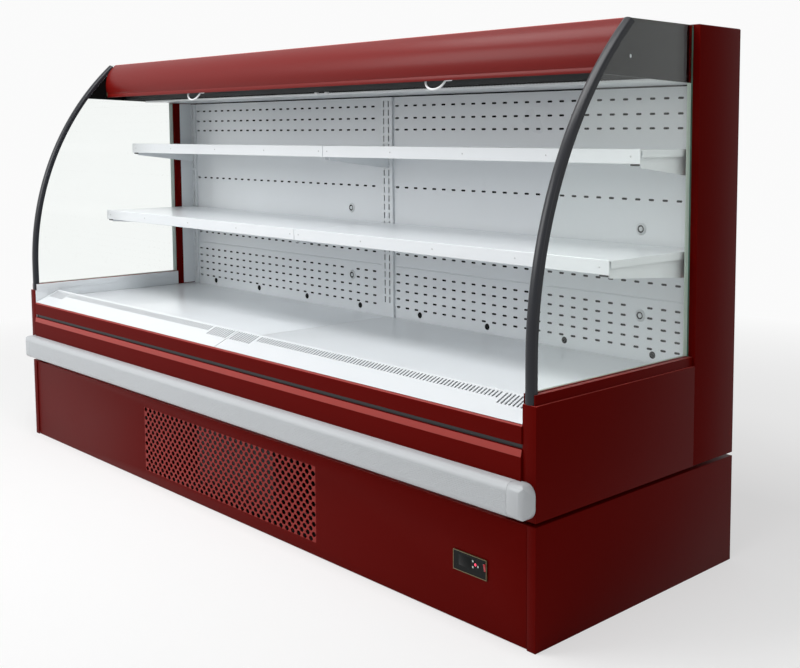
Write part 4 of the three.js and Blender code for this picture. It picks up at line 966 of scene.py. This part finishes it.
inner_radius = FASCIA_RADIUS - FASCIA_SHEET
roof_y = FASCIA_AXIS[0] - math.sqrt(FASCIA_RADIUS ** 2 - (ARC_TOP - FASCIA_AXIS[1]) ** 2)
inner_end = 180 - math.degrees(math.acos((FASCIA_AXIS[0] - roof_y) / inner_radius))
outer_arc = arc(*FASCIA_AXIS, FASCIA_RADIUS, height_angle(CREASE_Z, FASCIA_RADIUS),
                height_angle(ARC_TOP, FASCIA_RADIUS), 40)
inner_arc = arc(*FASCIA_AXIS, inner_radius, inner_end, height_angle(CREASE_Z, inner_radius), 40)
lip_y, inner_y, foot = outer_arc[0][0], inner_arc[-1][0], FASCIA.z0
lip = [
    (inner_y, CREASE_Z - 2), (inner_y, foot + 2.4), (inner_y - 1.2, foot), (lip_y + 0.4, foot),
    (lip_y - 0.3, foot + 1.6), (lip_y - 0.3, CREASE_Z - 3), (lip_y + 0.6, CREASE_Z - 1.2),
]
fascia = prism([*outer_arc, *inner_arc, *lip], -BAY, BAY)
# The top edge of the fascia is painted paler red: painted highlight.
painted(fascia, 1, lambda c, n: c.z > ARC_TOP - 2.2 and n.y < 0 and n.z > 0.3)
piece("fascia", rounded(fascia, 0.3, 1, 40), [lit_canopy_red, highlight_red],
      replaces="canopy_fascia")

HALF, ARM_Z, REACH, LEG, PIN = 24, (1297, 1327), 375, 6, 10  # the bracket of the blinds
arm = block(-HALF, HALF, FASCIA_AXIS[0] - inner_radius + 1.5, REACH, *ARM_Z)
leg = block(-HALF, HALF, REACH - LEG, REACH, ARM_Z[1], ARC_TOP - 40.3)
arm = grown(HOLES, arm, galvanised, rod(PIN_HOLE, ROLL_AXIS, 0, PIN + 1), **grid(
    2, 1, 2 * HALF - PIN - 1, 1, (-HALF - 1, 0, 0)))
piece("blind_bracket_arm", arm, galvanised)
piece("blind_bracket_leg", rounded(leg, 0.5), galvanised)
GUIDE_X, GUIDE_Y, GUIDE_Z = (21, 32), (398, 409), (1258.4, 1263.8)
for side, sign in SIDES.items():
    guide = rounded(block(*GUIDE_X, *GUIDE_Y, *GUIDE_Z), 1)
    piece("blind_guide_" + side, mirrored(guide, sign), white_moulding)
edge_line = block(-BAY + 0.5, -BAY + 3, FASCIA.y0 + 2.6, FASCIA.y0 + 5, FASCIA.z0 + 4, CREASE_Z + 20)
piece("fascia_end_seal", rounded(edge_line, 0.3, 1), olive_metal)
print("fascia", [round(v) for v in FASCIA], "roof edge", round(roof_y))

# %% [markdown]
# Inside the canopy a white lining runs back to the rear wall. In front of it a black honeycomb lets the
# air curtain fall, so the ceiling ends in a dark band. Its short walls are copies set out by the tree,
# and its long ones are a few ribs along the cabinet.

# %% Ceiling and air discharge
ceiling_back = min(DUCT.y1 - 0.4, CEILING.y1)
lining_outline = [
    (CEILING.y0, CEILING.z0 + 1.5), (CEILING.y0 + 1.5, CEILING.z0), (ceiling_back, CEILING.z0),
    (ceiling_back, CEILING.z0 + 3), (CEILING.y0 + 2, CEILING.z0 + 3), (CEILING.y0 + 2, CEILING.z1),
    (CEILING.y0, CEILING.z1),
]
piece("ceiling_sheet", rounded(prism(lining_outline, -BAY, BAY), 0.5, 1), white_enamel,
      replaces="ceiling_lining")
COMB = span("discharge_grid")
CELL, CELL_HIGH, CELL_WALL = 12, 18, 0.8
behind = COMB.y0 + 2
cell_top = COMB.z0 + CELL_HIGH
plate = joined(
    block(-BAY, BAY, COMB.y0, behind, COMB.z0, COMB.z1),
    block(-BAY, BAY, behind, COMB.y1, cell_top, cell_top + 2),
)
piece("discharge_plate", plate, satin_black, replaces="discharge_grid")
wall = block(0, CELL_WALL, behind + 0.2, COMB.y1, COMB.z0, cell_top)
walls = grown(COPIES, bmesh.new(), satin_black, wall, **grid(
    int(2 * BAY / CELL), 1, CELL, 1, (-BAY + 3, 0, 0)))
piece("honeycomb_across", walls, satin_black)
ribs = [block(-BAY, BAY, y, y + CELL_WALL, COMB.z0, cell_top)
        for y in range(int(COMB.y0) + CELL, int(COMB.y1), CELL)]
piece("honeycomb_along", joined(*ribs), satin_black)
print("discharge", [round(v) for v in COMB])

# %% [markdown]
# Each bay has a night blind: a roll of cloth that unwinds, a white bar on its hem and a handle to pull.
# The wound cloth is a plain roll. The short hanging part, which on the real blind lengthens as it is
# pulled, is a real sheet drawn between the roller and the bar.

# %% Night blinds
ROLL_RADIUS = (ROLLER.y1 - ROLLER.y0) / 2
TILT = math.radians(20.6)
PULL = Vector((0, -math.sin(TILT), -math.cos(TILT)))
LEAVE = Vector((0, ROLL_AXIS[0] - ROLL_RADIUS * math.cos(TILT), ROLL_AXIS[1] + ROLL_RADIUS * math.sin(TILT)))
BAR_DOWN = 40
BAR_X = (33, BAY - 9)
BAR_AT = LEAVE + PULL * BAR_DOWN
HANDLE = {"wide": 85, "drop": 36, "rod": 6, "plate": 21, "tongue": 6}
HANDLE_STEPS = 14
CLOTH = 0.6


def tilted(shape):
    """From the bar's own upright frame to where it hangs."""
    return moved(shape, y=BAR_AT.y, z=BAR_AT.z, turn=-math.degrees(TILT), axis="X")


def handle(x, tongue_side):
    """A round loop to pull, under a flat root on the bar, with a small tongue beside it."""
    h = HANDLE
    half, r = h["wide"] / 2, h["rod"] / 2
    bow = [((half - r) * math.cos(t), 0, -4 - (h["drop"] - 4 - r) * math.sin(t))
           for t in (math.pi * i / HANDLE_STEPS for i in range(HANDLE_STEPS + 1))]
    loop = tube(r, bow, 1.2, 12)
    tongue = rounded(block(half - 2, half + h["plate"], -2.4, 2.4, -4 - h["tongue"], -4), 1)
    root = rounded(block(-half, half, -2.6, 2.6, -7, -4), 0.8)
    return moved(joined(loop, mirrored(tongue, tongue_side), root), x)


for side, sign in SIDES.items():
    wound = prism(arc(*ROLL_AXIS, ROLL_RADIUS - 0.05, 0, 360 - 7.5, 47), 26, BAY - 2)
    for face in wound.faces:
        face.smooth = True
    pins = rod(4.6, ROLL_AXIS, ROLLER.x0 + 0.4, ROLLER.x1 - 0.4, "x", 16)
    ridge = rod(16, ROLL_AXIS, 25.7, BAY - 1.7, "x", 24)
    roll = joined(wound, painted(pins, 1), painted(ridge, 2))
    piece("wound_cloth_" + side, mirrored(roll, sign), [blind_cloth, bare_steel, satin_black],
          "blind_roller_" + side, "blind_roller_" + side)
    box_bar = rounded(block(*BAR_X, -3.4, 3.4, -6, 6), 2.2, 3)
    caps = [painted(rounded(block(x, x + 4, -3.5, 3.5, -6, 6), 1), 1)
            for x in (BAR_X[0] - 0.05, BAR_X[1] - 3.95)]
    bar = joined(box_bar, handle(BAY / 2, sign), *caps)
    piece("blind_hem_" + side, mirrored(tilted(bar), sign), [white_moulding, white_enamel],
          "blind_bar_" + side, "blind_bar_" + side)

CLOTH_STEPS = (60, 8)
columns, rows = CLOTH_STEPS
x0, x1 = BAR_X
out = Vector((0, -math.cos(TILT), math.sin(TILT)))
for side, sign in SIDES.items():
    points = []
    for layer in (0, 1):
        for r in range(rows + 1):
            for c in range(columns + 1):
                t = r / rows
                wave = 0.5 * math.sin(c * 0.55) * math.sin(math.pi * t)
                at = LEAVE + PULL * ((BAR_DOWN - 5) * t) + out * (wave - layer * CLOTH + 0.9)
                points.append((x0 + 2 + (x1 - x0 - 4) * c / columns, at.y, at.z))
    cloth = mirrored(slab(points, columns, rows), sign)
    hung = finished("hung_cloth_" + side, cloth, blind_cloth, 40)
    middle = sign * (x0 + x1) / 2
    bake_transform(hung)
print("blinds")

# %% [markdown]
# The rear wall is white sheet: a slotted upright in the middle and at each end, and a duct panel between
# them with rows of slots that feed cold air onto the shelves. Every slot is cut through by the tree.

# %% Rear wall
SLOT_SIZE = (18, 6)
SLOT_PITCH = 45
SLOTS_IN_ROW = 26
SLOT_START = 49
SLOT_ROWS = (1225, 1185, 1147, 957, 734)
GRID_LOW, GRID_ROWS, GRID_PITCH = 555.5, 5, 27.6
DUCT_FOLD = 691
RING_PLUGS = {"right": (1052, (878, 643)), "left": (198, (878, 643))}
PLUGS_X = (156.25, 468.75, 781.25, 1093.75)
PLUG_Z = 540
WEB_Y = UPRIGHT.y0 + 7  # the front face of the duct panels
CLEAR = 24  # a slot nearer than this to the middle of a plug is left out
RING_PROFILE = [(0, 3.4), (5.5, 3.2), (6.5, 2), (9, 1.8), (10.5, 3), (11.5, 2.6), (16, 0.9), (17, 0)]
CAP_PROFILE = [(0, 2.4), (6, 2.2), (9.2, 1.2), (10, 0)]


def slot_tool(across, high, deep=8):
    """A slot with round ends, to cut through a sheet."""
    r = high / 2
    outline = [*arc(across / 2 - r, 0, r, -90, 90, 5), *arc(-across / 2 + r, 0, r, 90, 270, 5)]
    return prism(outline, -deep, deep, "y")


def with_holes(mesh, material, tool, where):
    for columns, rows, across, up, start in where:
        mesh = grown(HOLES, mesh, material, tool(), **grid(columns, rows, across, up, start))
    return mesh


for side, sign in SIDES.items():
    d = DUCT
    web = block(d.x0, d.x1, WEB_Y, WEB_Y + SHEET, d.z0, d.z1)
    where = [(SLOTS_IN_ROW, 1, SLOT_PITCH, 1, (SLOT_START, WEB_Y + 1, z)) for z in SLOT_ROWS]
    where.append((SLOTS_IN_ROW, GRID_ROWS, SLOT_PITCH, GRID_PITCH, (SLOT_START, WEB_Y + 1, GRID_LOW)))
    if sign < 0:
        where = [(n, r, a, u, (d.x0 + d.x1 - s[0] - (n - 1) * a, s[1], s[2])) for n, r, a, u, s in where]
    plug_x, plug_heights = RING_PLUGS[side]
    kept = []
    for n, r, a, u, start in where:
        covered = [i for i in range(n) if abs(start[0] + i * a - plug_x) < CLEAR]
        near = r > 1 or any(abs(start[2] - z) < 20 for z in plug_heights)
        if not (near and covered):
            kept.append((n, r, a, u, start))
            continue
        first, last = covered[0], covered[-1]
        kept.append((first, r, a, u, start))
        kept.append((n - 1 - last, r, a, u, (start[0] + (last + 1) * a, *start[1:])))
        clear = [i for i in range(r) if all(abs(start[2] + i * u - z) > CLEAR for z in plug_heights)]
        if clear:
            corner = (start[0] + first * a, start[1], start[2] + clear[0] * u)
            kept.append((len(covered), len(clear), a, u, corner))
    web = as_shape(with_holes(web, white_enamel, lambda: slot_tool(*SLOT_SIZE), kept))
    painted(web, 1, lambda c, n: abs(n.y) < 0.5 and d.x0 + 1 < c.x < d.x1 - 1 and d.z0 + 1 < c.z < d.z1 - 1)
    ledge = block(d.x0, d.x1, d.y0, WEB_Y, d.z0, d.z0 + SHEET)
    returns = [block(x, x + SHEET, WEB_Y + SHEET, d.y1, DUCT_FOLD, d.z1) for x in (d.x0, d.x1 - SHEET)]
    crease = [(WEB_Y + 0.1, DUCT_FOLD - 2.5), (WEB_Y - 1.4, DUCT_FOLD), (WEB_Y + 0.1, DUCT_FOLD + 2.5)]
    whole = joined(web, ledge, *returns, prism(crease, d.x0, d.x1))
    piece("duct_panel_" + side, mirrored(whole, sign), [white_enamel, shadow_black],
          replaces="back_duct_" + side)

    rings = []
    for z in plug_heights:
        ring = painted(knob(RING_PROFILE, 40), 1, lambda c, n: 6.3 < math.hypot(c.x, c.z) < 10.8)
        rings.append(moved(ring, plug_x, WEB_Y, z))
    piece("ring_plugs_" + side, mirrored(joined(*rings), sign), [ring_white, shadow_black])
    plugs = [moved(knob(CAP_PROFILE, 28), x, WEB_Y, PLUG_Z) for x in PLUGS_X]
    piece("cap_plugs_" + side, mirrored(joined(*plugs), sign), gloss_black)

UPRIGHT_SLOT = (5, 20)
UPRIGHT_SLOT_COUNT = 24
UPRIGHT_SLOT_PITCH = 28.5
SHELF_TOPS = {"upper": 1096, "lower": 839.5}
SLOT_TOP = SHELF_TOPS["upper"] - 2.5 - 2 - 12 + 5 * UPRIGHT_SLOT_PITCH
slot_low = SLOT_TOP - (UPRIGHT_SLOT_COUNT - 1) * UPRIGHT_SLOT_PITCH - 0.3
wide, high = UPRIGHT_SLOT
for name in ("upright_centre", "upright_left", "upright_right"):
    u = span(name)
    columns = (-12, 12) if name == "upright_centre" else (math.copysign(BAY - 14, u.x0),)
    web = rounded(block(u.x0, u.x1, u.y0, u.y0 + SHEET, u.z0, u.z1), 0.4, 1)
    where = [(1, UPRIGHT_SLOT_COUNT, 1, UPRIGHT_SLOT_PITCH, (x, u.y0 + 1, slot_low)) for x in columns]
    web = with_holes(web, white_enamel, lambda: block(-wide / 2, wide / 2, -8, 8, 0, high), where)
    flanges = [block(x, x + SHEET, u.y0 + SHEET, u.y1, u.z0, u.z1) for x in (u.x0, u.x1 - SHEET)]
    piece(name + "_channel", joined(as_shape(web), *flanges), white_enamel,
          replaces=name)
print("rear wall", SLOTS_IN_ROW * (len(SLOT_ROWS) + GRID_ROWS) * 2, "slots")

# %% [markdown]
# Under the deck trays lies the cooling of the well: a finned evaporator along its whole length and a
# plate with two fans that blow through it. It is seen when a tray is lifted out.

# %% The well
EVAP = span("evaporator_coil")
FIN_Y, FIN_HIGH, FIN_THICK, FIN_PITCH = (205, 335), 8, 0.7, 8
dressed("evaporator_coil", fin_metal, 0.5, slot="finned_block")
fin_top = block(0, FIN_THICK, *FIN_Y, EVAP.z1 - 0.5 - FIN_HIGH, EVAP.z1 - 0.5)
fins = grown(COPIES, bmesh.new(), fin_metal, fin_top, **grid(
    int((EVAP.x1 - EVAP.x0 - 30) / FIN_PITCH), 1, FIN_PITCH, 1, (EVAP.x0 + 8, 0, 0)))
piece("evaporator_fins", fins, fin_metal)
dressed("evaporator_fan_plate", galvanised, 0.4, slot="galvanised")
print("evaporator", [round(v) for v in EVAP])

# %% [markdown]
# Two glossy trays cover the well and a grille in front of each takes the air back in. The grille is a
# sloping sheet with slots that run front to back. At both ends of each panel the slots are longer.

# %% Deck
GRILLE = span("return_grille_right")
GRILLE_LOW, GRILLE_RIDGE, GRILLE_FOOT, GRILLE_SLOPE = 505.3, 87, 518.05, 0.46
GRILLE_PITCH = 12.5
GRILLE_SLOT = 6
LONG_ZONE = 118
LONG_SLOT, SHORT_SLOT = (43, 80), (58, 80)  # from front to back


def grille_line(y):
    return GRILLE_LOW + GRILLE_SLOPE * y


fold = GRILLE_RIDGE - 2
grille_outline = [
    (0, GRILLE_LOW + 0.2), (2.2 / GRILLE_SLOPE, GRILLE_LOW + 0.05), (fold, grille_line(fold) - 2.2),
    (fold, GRILLE_FOOT), (GRILLE_RIDGE, GRILLE_FOOT), (GRILLE_RIDGE, grille_line(GRILLE_RIDGE) - 1),
    (GRILLE_RIDGE - 1.2, grille_line(GRILLE_RIDGE - 1.2)),
]
left, right = GRILLE.x0, GRILLE.x1
zones = [
    (left + 10, int(LONG_ZONE / GRILLE_PITCH), LONG_SLOT),
    (left + LONG_ZONE + 14, int((right - left - 2 * LONG_ZONE - 20) / GRILLE_PITCH), SHORT_SLOT),
    (right - LONG_ZONE - 4, int(LONG_ZONE / GRILLE_PITCH), LONG_SLOT),
]
for side, sign in SIDES.items():
    tray = rounded(block(DECK.x0, DECK.x1, DECK.y0, DECK.y1, DECK.z0 + 0.05, DECK.z1), 0.8)
    piece("deck_sheet_" + side, mirrored(tray, sign), white_enamel, "deck_tray_" + side,
          "deck_tray_" + side)
    sheet = prism(grille_outline, left, right)
    for x, count, reach in zones:
        sheet = grown(HOLES, sheet, white_enamel, block(0, GRILLE_SLOT, *reach, 500, 560), **grid(
            count, 1, GRILLE_PITCH, 1, (x, 0, 0)))
    piece("grille_" + side, mirrored(as_shape(sheet), sign), white_enamel,
          replaces="return_grille_" + side)
print("deck", [round(v) for v in DECK])

# %% [markdown]
# The red front is one long pressed panel. From above: a rolled top edge painted paler as painted
# highlight, a flat lip, a groove that takes ticket strips with its back painted black as painted shade,
# a bevel that looks up and so is painted paler as painted highlight, and a face that goes down to the
# base. All of it is one outline run along x, with real arcs where the sheet bends.

# %% Front panel
LIP_Y, LOWER_Y, GROOVE_Y = -3, -5, 4
FRONT_TOP, LIP_Z, GROOVE_Z, BEVEL_Z = 505, 461, 450, 433  # the top, and the foot of each band below it
ROLL = 8
foot = BASE.z1 + 12.2
front_outline = [
    (38, FRONT_TOP), *arc(LIP_Y + ROLL, FRONT_TOP - ROLL, ROLL, 90, 180, 10),
    (LIP_Y, LIP_Z + 1.2), (LIP_Y + 1.2, LIP_Z), (GROOVE_Y, LIP_Z), (GROOVE_Y, GROOVE_Z),
    (LIP_Y + 2, GROOVE_Z), (LIP_Y + 0.8, GROOVE_Z - 1), (LOWER_Y, BEVEL_Z), (LOWER_Y, foot + 1.8),
    (LOWER_Y + 2, foot), (7.6, foot), (7.6, 497.4), (38, 497.4),
]
front_shape = prism(front_outline, -BAY + 0.4, BAY - 0.4)
# The back of the groove is painted black: painted shade in the recess.
painted(front_shape, 1, lambda c, n: GROOVE_Y - 0.5 < c.y < 6 and GROOVE_Z - 1 < c.z < LIP_Z + 1)
# The bevel and the rolled top are painted paler red: painted highlight.
painted(front_shape, 2, lambda c, n: n.y < -0.5 and BEVEL_Z < c.z < GROOVE_Z - 1)
painted(front_shape, 2, lambda c, n: c.z > FRONT_TOP - 4 and n.y < -0.2 and n.z > 0.3)
piece("front_skin", front_shape, [red_paint, satin_black, highlight_red],
      replaces="front_panel", smooth=40)
print("front", len(front_outline), "corners")

# %% [markdown]
# The bumper is a grey profile that guards the front against trolleys. Its middle band has fine ribs
# along its length and its top band is smooth. Its ends are moulded caps with round corners.

# %% Bumper
RAIL = span("bumper_rail")
RAIL_BACK, RAIL_FRONT, RAIL_ROUND, RAIL_Z = -5.3, -36, 20, (299, 380)
RIB_FROM, RIB_TO, RIB_PITCH, RIB_DEEP = 320, 359.5, 4.25, 0.55
round_y = RAIL_FRONT + RAIL_ROUND
rail_outline = [(RAIL_BACK, RAIL_Z[0]), (RAIL_BACK, RAIL_Z[1])]
rail_outline += arc(round_y, RAIL_Z[1] - RAIL_ROUND, RAIL_ROUND, 90, 180, 12)
z = RIB_TO
while z > RIB_FROM + 1:
    for drop, deep in ((0, 0), (0.5, RIB_DEEP), (1.4, RIB_DEEP), (1.9, 0)):
        rail_outline.append((RAIL_FRONT + deep, z - drop))
    z -= RIB_PITCH
rail_outline += arc(round_y, RAIL_Z[0] + RAIL_ROUND, RAIL_ROUND, 180, 270, 12)
rail = prism(rail_outline, RAIL.x0, RAIL.x1)
piece("bumper_profile", rail, bumper_grey, replaces="bumper_rail", smooth=28)
for side in SIDES:
    dressed("bumper_cap_" + side, bumper_end_grey, 1.2, slot="grey_plastic")
print("bumper", [round(v) for v in RAIL])

# %% [markdown]
# A shelf is a white sheet with a deep price strip along its front, held by two brackets that hook into
# the uprights. It tips about its hooks, so all of it is one moving piece: sheet, strip, brackets,
# screws and the rubber foot under the strip's end.

# %% Shelves
STRIP = 36
STRIP_LIP = 2.5
SHELF_SHEET = 2
SHELF_FOLD = 18
SHELF_BACK = 655
SHELF_FRONTS = {"upper": 404, "lower": 290}
HOOKS = {"tab": 8, "lip": 6, "below": 12, "lower": 57, "nib": 2}
PIVOT_Y = UPRIGHT.y0 + 1
HOOK_HOLD, HOOK_END, BRACKET_BACK = 2.8, 6.3, -1.3  # from the pivot, in the middle of the upright's sheet
ARM_FRONT, ARM_DEEP = 17, 41
SCREWS_X = (22, 330, 640, 950, BAY - 30)
FOOT_X = (BAY - 34, BAY - 8)


def shelf(row):
    """A shelf with its price strip, brackets, screws and rubber foot."""
    top, front = SHELF_TOPS[row], SHELF_FRONTS[row]
    left, right = 1.5, BAY - 1.5
    sheet_top, strip_low = top - STRIP_LIP, top - STRIP
    sheet_low, fold_low = sheet_top - SHELF_SHEET, sheet_top - SHELF_FOLD
    back = SHELF_BACK - SHELF_SHEET
    strip_outline = [
        (front, strip_low + 1), (front, top - 1.2), (front + 1.2, top), (front + 3, top), (front + 3, sheet_low),
        (front + 3, strip_low + 2), (front + 8, strip_low + 2), (front + 8, strip_low), (front + 1, strip_low),
    ]
    parts = [
        prism(strip_outline, left, right),
        block(left, right, front + 3, SHELF_BACK, sheet_low, sheet_top),
        block(left, right, back, SHELF_BACK, fold_low, sheet_low),
        block(right - SHELF_SHEET, right, front + 8.2, back, fold_low, sheet_low),
        block(left, left + SHELF_SHEET, front + 8.2, back, fold_low, sheet_low),
    ]
    under, low = HOOKS["below"], -HOOKS["lower"]
    nib, tab, hook_low = HOOKS["nib"], HOOKS["tab"], -HOOKS["lip"]
    arm_front = front - PIVOT_Y + ARM_FRONT
    outline = [
        (arm_front, under - 0.1), (SHELF_BACK - PIVOT_Y - 2.3, under - 0.1), (BRACKET_BACK, tab), (HOOK_END, tab),
        (HOOK_END, hook_low), (HOOK_HOLD, hook_low), (HOOK_HOLD, 0), (BRACKET_BACK, 0), (BRACKET_BACK, low + tab),
        (HOOK_END - nib, low + tab), (HOOK_END - nib, low), (BRACKET_BACK, low), (BRACKET_BACK, low - nib),
        (arm_front, under - ARM_DEEP),
    ]
    parts += [moved(prism(outline, x - 1.5, x + 1.5), y=PIVOT_Y, z=sheet_low - under) for x in (12, BAY - 14)]
    dots = [moved(knob([(0, 1.0), (1.8, 0.8), (2.6, 0)], 14), x, front, top - STRIP / 2) for x in SCREWS_X]
    foot = rounded(block(*FOOT_X, front + 3.2, front + 9, strip_low - 5, strip_low + 0.2), 2)
    return joined(*parts, *(painted(dot, 2) for dot in dots), painted(foot, 1))


for row in SHELF_TOPS:
    for side, sign in SIDES.items():
        name = "shelf_" + row + "_" + side
        piece(name + "_sheet", mirrored(shelf(row), sign), [white_enamel, rubber, bare_steel], name,
              name)
print("shelves")
